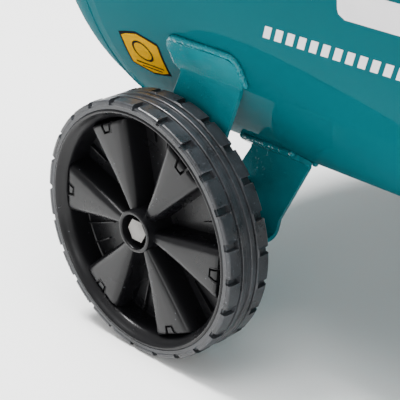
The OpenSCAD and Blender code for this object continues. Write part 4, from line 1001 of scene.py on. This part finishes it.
def bracket_welds(side, seed):
    """Fillet welds round the flange and along the far leg."""
    welds = Shape()
    bead = sizes().bead / MM
    low, high, corner = FLANGE_FROM - 0.5, FLANGE_TO + 0.5, FLANGE_CORNER
    r = TANK_R + 1.4
    degree = math.degrees(1 / r)

    def place(x, s):
        y, z = tank_arc(21.2 + s * degree, r)
        return (WHEEL_X + x, side * y, z)

    path = [place(low, 26), place(low, corner)]
    path += [place(low + corner * (1 - math.cos(a)), corner * (1 - math.sin(a)))
             for a in (0.4, 0.8, 1.2)]
    path += [place(low + corner, 0), place(high - corner, 0)]
    path += [place(high - corner * (1 - math.cos(a)), corner * (1 - math.sin(a)))
             for a in (1.2, 0.8, 0.4)]
    path += [place(high, corner), place(high, 26)]
    bead_along(welds, path, (0, -side, -0.35), bead, seed)
    for k, (angle, lift) in enumerate(FAR_WELDS):
        y, z = tank_arc(angle, TANK_R + lift)
        line = [(WHEEL_X + x, side * y, z) for x in FAR_WELD_ENDS]
        bead_along(welds, line, (0, -side, -1), bead, seed + 1 + k)
    return welds


class COMPRESSOR_OT_brackets(bpy.types.Operator):
    """Fold the wheel brackets and weld them to the tank"""
    bl_idname = "compressor.brackets"
    bl_label = "Wheel brackets"

    def execute(self, context):
        for end, side, seed in (("front", 1, 11), ("rear", -1, 31)):
            piece(end + "_bracket_folded", bracket_shape(side), FINISHES["welded"], "root",
                  [end + "_wheel_bracket"], edge=0.9)
            piece(end + "_bracket_welds", bracket_welds(side, seed), FINISHES["welded"], "root")
        return {"FINISHED"}


# ---- Printed films on the tank ----

def film_row(shape, rows, lift):
    """Thin film on the shell through rows of (left x, right x, height along the arc)."""
    rings = []
    for left, right, s in rows:
        a = s / TANK_R
        rings.append([on_tank(left, a, lift), on_tank(right, a, lift),
                      on_tank(right, a, 0.01), on_tank(left, a, 0.01)])
    return shape.loft(rings)


def film_patch(shape, outline, lift, step=3.0):
    """Film inside a convex outline of (x, height) points."""
    heights = sorted({s for _, s in outline})
    low, high = heights[0], heights[-1]
    count = max(2, math.ceil((high - low) / step))
    levels = sorted(set(heights) | {low + (high - low) * i / count for i in range(count + 1)})
    rows = []
    for s in levels:
        level = min(max(s, low + 0.01), high - 0.01)
        xs = []
        for (x0, s0), (x1, s1) in zip(outline, outline[1:] + outline[:1]):
            if (s0 - level) * (s1 - level) < 0:
                xs.append(x0 + (x1 - x0) * (level - s0) / (s1 - s0))
        if len(xs) > 1 and max(xs) - min(xs) > 0.02:
            rows.append((min(xs), max(xs), level))
    return film_row(shape, rows, lift)


def film_line(shape, path, width, lift, closed=True):
    """Strip of film along a path of (x, height) points."""
    points = [Vector(p) for p in path]
    fine = []
    count = len(points) if closed else len(points) - 1
    for i in range(count):
        a, b = points[i], points[(i + 1) % len(points)]
        n = max(1, math.ceil(abs((b - a).y) / 3))
        fine.extend(a.lerp(b, k / n) for k in range(n))
    if not closed:
        fine.append(points[-1])
    rings = []
    for i, p in enumerate(fine):
        before = fine[i - 1] if i or closed else p
        after = fine[(i + 1) % len(fine)] if i + 1 < len(fine) or closed else p
        one, two = (p - before), (after - p)
        one = one.normalized() if one.length else two.normalized()
        two = two.normalized() if two.length else one
        way = (one + two).normalized()
        grow = 1 / max(0.5, way.dot(one))
        across = Vector((-way.y, way.x)) * width / 2 * grow
        a, b = p + across, p - across
        rings.append([on_tank(a.x, a.y / TANK_R, lift), on_tank(b.x, b.y / TANK_R, lift),
                      on_tank(b.x, b.y / TANK_R, 0.01), on_tank(a.x, a.y / TANK_R, 0.01)])
    if closed:
        return shape.grid(rings, around=True, along=True)
    return shape.loft(rings)


def rounded_outline(x0, x1, s0, s1, r, steps=6):
    """Rectangle with round corners as (x, height) points."""
    outline = []
    for cx, cs, first in ((x1 - r, s1 - r, 0), (x0 + r, s1 - r, 1), (x0 + r, s0 + r, 2),
                          (x1 - r, s0 + r, 3)):
        for k in range(steps + 1):
            a = TURN / 4 * (first + k / steps)
            outline.append((cx + r * math.cos(a), cs + r * math.sin(a)))
    return outline


def arc_height(degrees):
    """Height along the shell of an angle above the horizontal."""
    return TANK_R * math.radians(degrees)


FILM_LAYER = 0.12
INK_LIFT = 0.2
DASH_MID, DASH_H = arc_height(-13.3), 9.4
DASH_FROM, DASH_TO = -131.2, 196


class COMPRESSOR_OT_films(bpy.types.Operator):
    """Lay the stripe, the blank panels and the six-sided sticker on the tank"""
    bl_idname = "compressor.films"
    bl_label = "Printed films"

    def execute(self, context):
        gap = sizes().film_gap / MM
        # (x, degrees above the horizontal) of the sticker's corners
        six = [(-290.8, -24.8), (-269.5, -23.5), (-247.4, -25.1), (-251.2, -34.3), (-273.2, -35.6),
               (-294.1, -33.9)]
        six = [(x, arc_height(a)) for x, a in six]
        cx = sum(x for x, _ in six) / 6
        cs = sum(s for _, s in six) / 6
        inner = [(cx + (x - cx) * 0.9, cs + (s - cs) * 0.9) for x, s in six]
        border, yellow, ink, white = Shape(), Shape(), Shape(), Shape()
        film_patch(border, six, gap)
        film_patch(yellow, inner, gap + FILM_LAYER)
        ring = [(cx + 9.5 * math.cos(TURN * i / 40), cs + 3 + 9.5 * math.sin(TURN * i / 40))
                for i in range(40)]
        film_line(ink, ring, 2.0, gap + INK_LIFT)
        for k, wide in enumerate((15, 11)):
            s = cs - 11.5 - 4 * k
            film_line(ink, [(cx - wide, s), (cx + wide, s)], 1.5, gap + INK_LIFT, closed=False)
        low, high, wide, lean, pitch = DASH_MID - DASH_H / 2, DASH_MID + DASH_H / 2, 6, 4.2, 10
        x = DASH_FROM
        while x < DASH_TO:
            dash = [(x, low), (x + wide, low), (x + wide + lean, high), (x + lean, high)]
            film_patch(white, dash, gap)
            x += pitch
        panel = rounded_outline(-64, 120, arc_height(-6.5), arc_height(8), 6)
        film_patch(white, panel, gap)
        frame_line = rounded_outline(-200, -80, arc_height(-4.2), arc_height(8), 5)
        film_line(white, frame_line, 2.6, gap)
        stripe = Shape()
        bar = rounded_outline(-56, 112, arc_height(-1.2), arc_height(2.6), 3)
        film_patch(stripe, bar, gap + FILM_LAYER)
        piece("sticker_border", border, FINISHES["ink"], "root", sharp=60)
        piece("sticker_field", yellow, FINISHES["yellow"], "root", sharp=60)
        piece("sticker_ink", ink, FINISHES["ink"], "root", sharp=60)
        piece("tank_films", white, FINISHES["white"], "root", sharp=60)
        piece("panel_stripe", stripe, FINISHES["enamel"], "root", sharp=60)
        return {"FINISHED"}


# ---- Platform, handle, foot and drain ----

BOSS_WELD_R = 17.6
RAIL_FROM, RAIL_TO, RAIL_W = 25, 75, 50
RAIL_INSET = 22


class COMPRESSOR_OT_chassis(bpy.types.Operator):
    """Finish the platform, handle, foot and drain, and weld them on"""
    bl_idname = "compressor.chassis"
    bl_label = "Chassis"

    def execute(self, context):
        finish_nodes((
            ("platform", "welded", 0.9), ("foot_bracket", "welded", 0.9),
            ("handle_tube", "enamel", 0), ("rubber_feet", "rubber", 1.0),
            ("drain_valve", "brass", 0.5), ("drain_lever", "red", 0.8)))
        grip_low, grip_high = corners("handle_grip")
        bar = middle("handle_grip")
        outer = (grip_high.z - grip_low.z) / 2
        inner = outer - 2.4
        long = grip_high.y - grip_low.y
        section = [(inner, 0), (outer - 1.2, 0), (outer - 0.3, 0.5), (outer, 1.6)]
        ribs = round((long - 24) / 5.0)
        for k in range(ribs):
            y = 12 + k * (long - 24) / ribs
            section += [(outer, y), (outer - 0.25, y + 0.5), (outer - 0.9, y + 1.0),
                        (outer - 0.9, y + 1.9), (outer - 0.25, y + 2.4), (outer, y + 2.9)]
        section += [(outer, long - 1.6), (outer - 0.3, long - 0.5), (outer - 1.2, long),
                    (inner, long)]
        grip = Shape().lathe(section, about_y(bar.x, bar.z, grip_low.y), 96)
        piece("handle_grip_ribbed", grip, FINISHES["grip"], "root", ["handle_grip"],
              sharp=40)
        bead = sizes().bead / MM
        welds = Shape()
        low, high = corners("platform")
        for end in (low.x + RAIL_FROM, high.x - RAIL_TO):
            for side in (-1, 1):
                for face in (-1, 1):
                    y = side * (high.y - RAIL_INSET) + face * (SHEET / 2 + 0.6)
                    z = TANK_Z + math.sqrt(TANK_R ** 2 - y * y) + 0.6
                    line = [(end + 1, y, z), (end + RAIL_W - 1, y, z)]
                    bead_along(welds, line, (0, 1, 1), bead,
                               int(end) + side * 7 + face)
        foot_low, foot_high = corners("foot_bracket")
        for side in (-1, 1):
            for x in (foot_low.x - 0.4, foot_high.x + 0.4):
                path = []
                for a in (59, 62):
                    t = math.radians(a)
                    path.append((x, side * (TANK_R + 0.5) * math.cos(t),
                                 TANK_Z - (TANK_R + 0.5) * math.sin(t)))
                bead_along(welds, path, (1, 0, 0), bead * 0.8, int(x) + side)
        for fitting, seed in (("delivery_pipe", 4), ("switch_knob", 6)):
            ring = []
            for k in range(60):
                t = TURN * k / 60
                y = middle("switch_knob").y + BOSS_WELD_R * math.sin(t)
                ring.append((middle(fitting).x + BOSS_WELD_R * math.cos(t), y,
                             TANK_Z + math.sqrt(TANK_R ** 2 - y * y) + 0.8))
            bead_along(welds, ring, (0, 0.5, 1), bead * 0.8, seed, closed=True)
        piece("chassis_welds", welds, FINISHES["welded"], "root")
        return {"FINISHED"}


# ---- Motor and belt drive ----

def drive_outline(r1, r2, steps=72):
    """Open-belt outline in XZ round the crank and the motor shaft."""
    dx, dz = MOTOR_X - PUMP_X, MOTOR_Z - CRANK_Z
    span = math.hypot(dx, dz)
    tilt = math.atan2(dz, dx)
    wrap = math.acos((r1 - r2) / span)
    outline = []
    for k in range(steps + 1):
        a = tilt + wrap + (TURN - 2 * wrap) * k / steps
        outline.append((PUMP_X + r1 * math.cos(a), CRANK_Z + r1 * math.sin(a)))
    for k in range(steps // 2 + 1):
        a = tilt - wrap + 2 * wrap * k / (steps // 2)
        outline.append((MOTOR_X + r2 * math.cos(a), MOTOR_Z + r2 * math.sin(a)))
    return outline


class COMPRESSOR_OT_drive(bpy.types.Operator):
    """Finish the motor and the guard, and make the V-belt"""
    bl_idname = "compressor.drive"
    bl_label = "Motor and belt drive"

    def execute(self, context):
        finish_nodes((
            ("motor_frame", "iron", 0.5), ("stator", "steel", 0), ("rotor_shaft", "steel", 0.5),
            ("fan_cover", "black", 0.4), ("cooling_fan", "abs", 0.4),
            ("motor_pulley", "steel", 0.4), ("guard_back", "black", 0.25),
            ("guard_front", "black", 0.25), ("terminal_box", "abs", 0.8),
            ("motor_lead", "rubber", 0)))
        low, high = corners("drive_belt")
        y = (low.y + high.y) / 2
        outer_1 = PUMP_X - low.x
        outer_2 = high.x - MOTOR_X
        rows = []
        # (distance inside the belt's back, half width) of the V section
        for inset, half in ((0, 5.9), (0.5, 6.2), (1.2, 6.1), (8.0, 4.5), (8.6, 4.0)):
            outline = drive_outline(outer_1 - inset, outer_2 - inset)
            rows.append((outline, half))
        belt = Shape()
        sections = []
        for i in range(len(rows[0][0])):
            section = [(o[i][0], y - h, o[i][1]) for o, h in rows]
            section += [(o[i][0], y + h, o[i][1]) for o, h in rows[::-1]]
            sections.append(section)
        belt.grid(sections, around=True, along=True)
        piece("v_belt", belt, FINISHES["rubber"], "root", ["drive_belt"], sharp=40)
        box_top = corners("terminal_box")[1].z
        screws = Shape()
        for dx in (-46, 46):
            for dy in (-33, 33):
                put = about_z(MOTOR_X + dx, -28 + dy, box_top - 2.0)
                screws.pin([(3.6, 0), (3.6, 1.6), (3.0, 2.0)], put, 24)
        piece("lid_screws", screws, FINISHES["zinc"], "root")
        return {"FINISHED"}


# ---- Pump ----

class COMPRESSOR_OT_pump(bpy.types.Operator):
    """Finish the pump's castings and running parts, and bolt its end cover on"""
    bl_idname = "compressor.pump"
    bl_label = "Pump"

    def execute(self, context):
        finish_nodes((
            ("crankcase", "iron", 1.0), ("cylinder_block", "iron", 0.5),
            ("valve_plate", "steel", 0.3), ("cylinder_head", "alloy", 0.6),
            ("hex_bolts", "zinc", 0.4), ("flywheel", "iron", 0.8), ("crankshaft", "steel", 0.4),
            ("crank_bearings", "steel", 0.4), ("front_rod", "alloy", 0.5),
            ("rear_rod", "alloy", 0.5), ("pistons", "alloy", 0.3), ("oil_plug", "brass", 0.4),
            ("oil_filler", "red", 0.7)))
        low = corners("crankcase")[0]
        bolts = Shape()
        for k in range(6):
            a = TURN * (k + 0.5) / 6
            put = about_y(PUMP_X + 45 * math.cos(a), CRANK_Z + 45 * math.sin(a), low.y - 4.0)
            hexagon(bolts, put, 10, 0, 5.2)
        piece("cover_bolts", bolts, FINISHES["zinc"], "root", edge=0.2)
        glass_low, glass_high = corners("sight_glass")
        glass = middle("sight_glass")
        wide = (glass_high.x - glass_low.x) / 2
        put = about_y(glass.x, glass.z, glass_low.y)
        bezel = Shape().lathe([(wide - 3.4, 0.8), (wide - 2.6, 0), (wide - 0.8, 0), (wide, 0.8),
                               (wide, 4), (wide - 3.4, 4)], put, 64)
        piece("sight_bezel", bezel, FINISHES["brass"], "root", sharp=30)
        oil = Shape().pin([(wide - 3.4, 3.0), (wide - 3.4, 8)], put)
        piece("sight_backing", oil, FINISHES["sight"], "root")
        window = Shape().pin([(wide - 3.5, 1.4), (wide - 3.5, 2.8)], put)
        piece("sight_window", window, FINISHES["lens"], "root", ["sight_glass"])
        filters = Shape()
        for j in (-1, 1):
            f_low, f_high = corners("intake_filters")
            r = 28
            y = j * (f_high.y - r)
            z = (f_low.z + f_high.z) / 2
            put = about_x(y, z, f_low.x)
            section = [(7, 0), (7, 4), (11, 4), (r - 1.5, 11.2), (r, 12.4)]
            for k in range(6):
                d = 15 + 4.2 * k
                section += [(r, d), (r - 1.8, d + 0.5), (r - 1.8, d + 1.9), (r, d + 2.4)]
            section += [(r, 41), (r - 1, 42.4), (r - 3, 43), (r - 4, 45.6), (r - 6, 46), (0.4, 46)]
            section += [(0.4, 0)]
            filters.lathe(section, put, 96)
            hexagon(filters, put, 14, 45.5, 50)
        piece("filter_canisters", filters, FINISHES["abs"], "root",
              ["intake_filters"], sharp=32)
        return {"FINISHED"}


# ---- Air line, switch and gauges ----

def gauge_parts(x, y0, z, r, parts):
    """One pressure gauge: its case, dial, marks, coloured arc and window."""
    # (radius, depth from the back of the case)
    put = about_y(x, z, y0)
    parts["case"].lathe([(4, 0), (r - 1.5, 0), (r, -1.5), (r, -15.2), (r + 1, -15.8), (r + 1, -16.8),
                         (r + 0.4, -17.4), (r - 2.2, -17.4), (r - 3, -16.6), (r - 3, -9), (4, -9)],
                        put, 96)
    parts["dial"].pin([(r - 3.1, -9.2), (r - 3.1, -10.1)], put, 72)
    for k in range(21):
        a = math.radians(225 - 13.5 * k)
        inner = r - (8.2 if k % 5 == 0 else 6.4)
        half = 0.45 if k % 5 == 0 else 0.22
        c, s = math.cos(a), math.sin(a)
        rings = []
        for q in (inner, r - 4.6):
            rings.append([(x + q * c - t * s, y0 + d, z + q * s + t * c) for t, d in
                          ((-half, -10.05), (half, -10.05), (half, -10.2), (-half, -10.2))])
        parts["marks"].loft(rings)
    rows = []
    for k in range(17):
        a = math.radians(36 - 81 * k / 16)
        rows.append([put(q, a, d) for q, d in ((r - 8.8, -10.05), (r - 7.4, -10.05),
                                               (r - 7.4, -10.18), (r - 8.8, -10.18))])
    parts["arc"].loft(rows)
    parts["lens"].pin([(r - 3.05, -15.4), (r - 3.05, -16.4), (r - 4.2, -17.0)], put, 96)


class COMPRESSOR_OT_air_line(bpy.types.Operator):
    """Finish the air line, the switch box, the gauges and the coupler"""
    bl_idname = "compressor.air_line"
    bl_label = "Air line"

    def execute(self, context):
        finish_nodes((
            ("delivery_pipe", "copper", 0), ("check_valve", "brass", 0.5),
            ("unloader_tube", "copper", 0), ("pressure_switch", "abs", 1.0),
            ("switch_knob", "red", 0.8), ("safety_valve", "brass", 0.4),
            ("safety_ring", "zinc", 0), ("regulator", "alloy", 0.6),
            ("regulator_knob", "abs", 0.5), ("tank_needle", "red", 0.1),
            ("line_needle", "red", 0.1), ("quick_coupler", "zinc", 0.4),
            ("coupler_sleeve", "brass", 0.4)))
        parts = {key: Shape() for key in ("case", "dial", "marks", "arc", "lens")}
        low, high = corners("gauge_cases")
        r = (high.z - low.z) / 2 - 1
        for joint in ("tank_gauge", "line_gauge"):
            pin = PINS[joint]
            gauge_parts(pin.x, pin.y + 14, pin.z, r, parts)
        piece("gauge_bodies", parts["case"], FINISHES["black"], "root",
              ["gauge_cases"], sharp=30)
        piece("gauge_dials", parts["dial"], FINISHES["white"], "root")
        piece("gauge_marks", parts["marks"], FINISHES["ink"], "root", sharp=60)
        piece("gauge_arcs", parts["arc"], FINISHES["red"], "root", sharp=60)
        piece("gauge_windows", parts["lens"], FINISHES["lens"], "root")
        box_top = corners("pressure_switch")[1].z
        knob = middle("switch_knob")
        collar = Shape().lathe([(13.6, -2), (17, -2), (17, 0.8), (16, 1.6), (14.4, 1.6), (13.6, 0.8)],
                               about_z(knob.x, knob.y, box_top), 64)
        piece("switch_collar", collar, FINISHES["abs"], "root", sharp=30)
        return {"FINISHED"}


# ---- Stage ----

VIEW_TURN = math.radians(46.087)
VIEW_RISE = math.radians(25.204)
VIEW_AWAY = 1026.6
VIEW_RIGHT = 48.9
VIEW_UP = 23.6
LENS = 126.2
SKY_STRENGTH = 0.8
FLOOR_HALF = 6000
FLOOR_DROP = 0.2
LAMP_AIM = Vector((0, 0, 0.4))
# name, turn and rise in degrees, distance and side in metres, power in watts
LAMPS = (("key", -74, 60, 2.8, 0.7, 190), ("overhead", 40, 86, 3.2, 2.6, 200),
         ("fill", 26, 12, 3.2, 1.2, 30))


def way_to(turn, rise):
    """Direction from the middle of the scene, by its turn and its rise."""
    return Vector((math.sin(turn) * math.cos(rise), -math.cos(turn) * math.cos(rise),
                   math.sin(rise)))


def soft_light(name, turn, rise, away, size, power):
    """Square soft box aimed at the object; turn and rise are in degrees."""
    back = way_to(math.radians(turn), math.radians(rise))
    lamp = bpy.data.lights.new(name, "AREA")
    lamp.shape = "SQUARE"
    lamp.size = size
    lamp.energy = power
    thing = bpy.data.objects.new(name, lamp)
    thing.location = LAMP_AIM + back * away
    thing.rotation_euler = back.to_track_quat("Z", "Y").to_euler()
    bpy.context.scene.collection.objects.link(thing)


class COMPRESSOR_OT_stage(bpy.types.Operator):
    """Lay the floor, hang the lights and set the camera"""
    bl_idname = "compressor.stage"
    bl_label = "Floor, lights and camera"

    def execute(self, context):
        rows = [[(x, y, -FLOOR_DROP) for x in (-FLOOR_HALF, FLOOR_HALF)]
                for y in (-FLOOR_HALF, FLOOR_HALF)]
        floor = loose_object("floor", Shape().grid(rows))
        floor.data.materials.append(FINISHES["paper"])
        world = bpy.data.worlds.new("studio")
        world.use_nodes = True
        sky = world.node_tree.nodes["Background"].inputs
        sky["Color"].default_value = (1, 1, 1, 1)
        sky["Strength"].default_value = SKY_STRENGTH
        context.scene.world = world
        for lamp in LAMPS:
            soft_light(*lamp)
        back = way_to(VIEW_TURN, VIEW_RISE)
        right = Vector((math.cos(VIEW_TURN), math.sin(VIEW_TURN), 0))
        up = back.cross(right)
        lens = bpy.data.cameras.new("camera")
        lens.lens = LENS
        lens.clip_start = 0.01
        camera = bpy.data.objects.new("camera", lens)
        wheel = Vector((WHEEL_X, FACE_Y, WHEEL_Z))
        camera.location = (wheel + back * VIEW_AWAY + right * VIEW_RIGHT + up * VIEW_UP) * MM
        camera.rotation_euler = back.to_track_quat("Z", "Y").to_euler()
        context.scene.collection.objects.link(camera)
        context.scene.camera = camera
        return {"FINISHED"}


# ---- Sidebar ----

STEPS = (COMPRESSOR_OT_wheels, COMPRESSOR_OT_tank, COMPRESSOR_OT_brackets, COMPRESSOR_OT_films,
         COMPRESSOR_OT_chassis, COMPRESSOR_OT_drive, COMPRESSOR_OT_pump, COMPRESSOR_OT_air_line,
         COMPRESSOR_OT_stage)


class COMPRESSOR_PT_sidebar(bpy.types.Panel):
    """Sizes, colours and the steps that make the compressor"""
    bl_idname = "COMPRESSOR_PT_sidebar"
    bl_label = "Air compressor"
    bl_space_type = "VIEW_3D"
    bl_region_type = "UI"
    bl_category = "Compressor"

    def draw(self, context):
        for group in (context.scene.compressor_sizes, context.scene.compressor_colours):
            box = self.layout.box()
            for name in group.__annotations__:
                box.prop(group, name)
        for step in STEPS:
            self.layout.operator(step.bl_idname)


CLASSES = (CompressorColours, CompressorSizes, *STEPS, COMPRESSOR_PT_sidebar)


def register():
    for each in CLASSES:
        bpy.utils.register_class(each)
    bpy.types.Scene.compressor_colours = bpy.props.PointerProperty(type=CompressorColours)
    bpy.types.Scene.compressor_sizes = bpy.props.PointerProperty(type=CompressorSizes)


def unregister():
    del bpy.types.Scene.compressor_sizes
    del bpy.types.Scene.compressor_colours
    for each in reversed(CLASSES):
        bpy.utils.unregister_class(each)


def main():
    register()
    make_finishes()
    for step in STEPS:
        group, action = step.bl_idname.split(".")
        getattr(getattr(bpy.ops, group), action)()


if __name__ == "__main__":
    main()
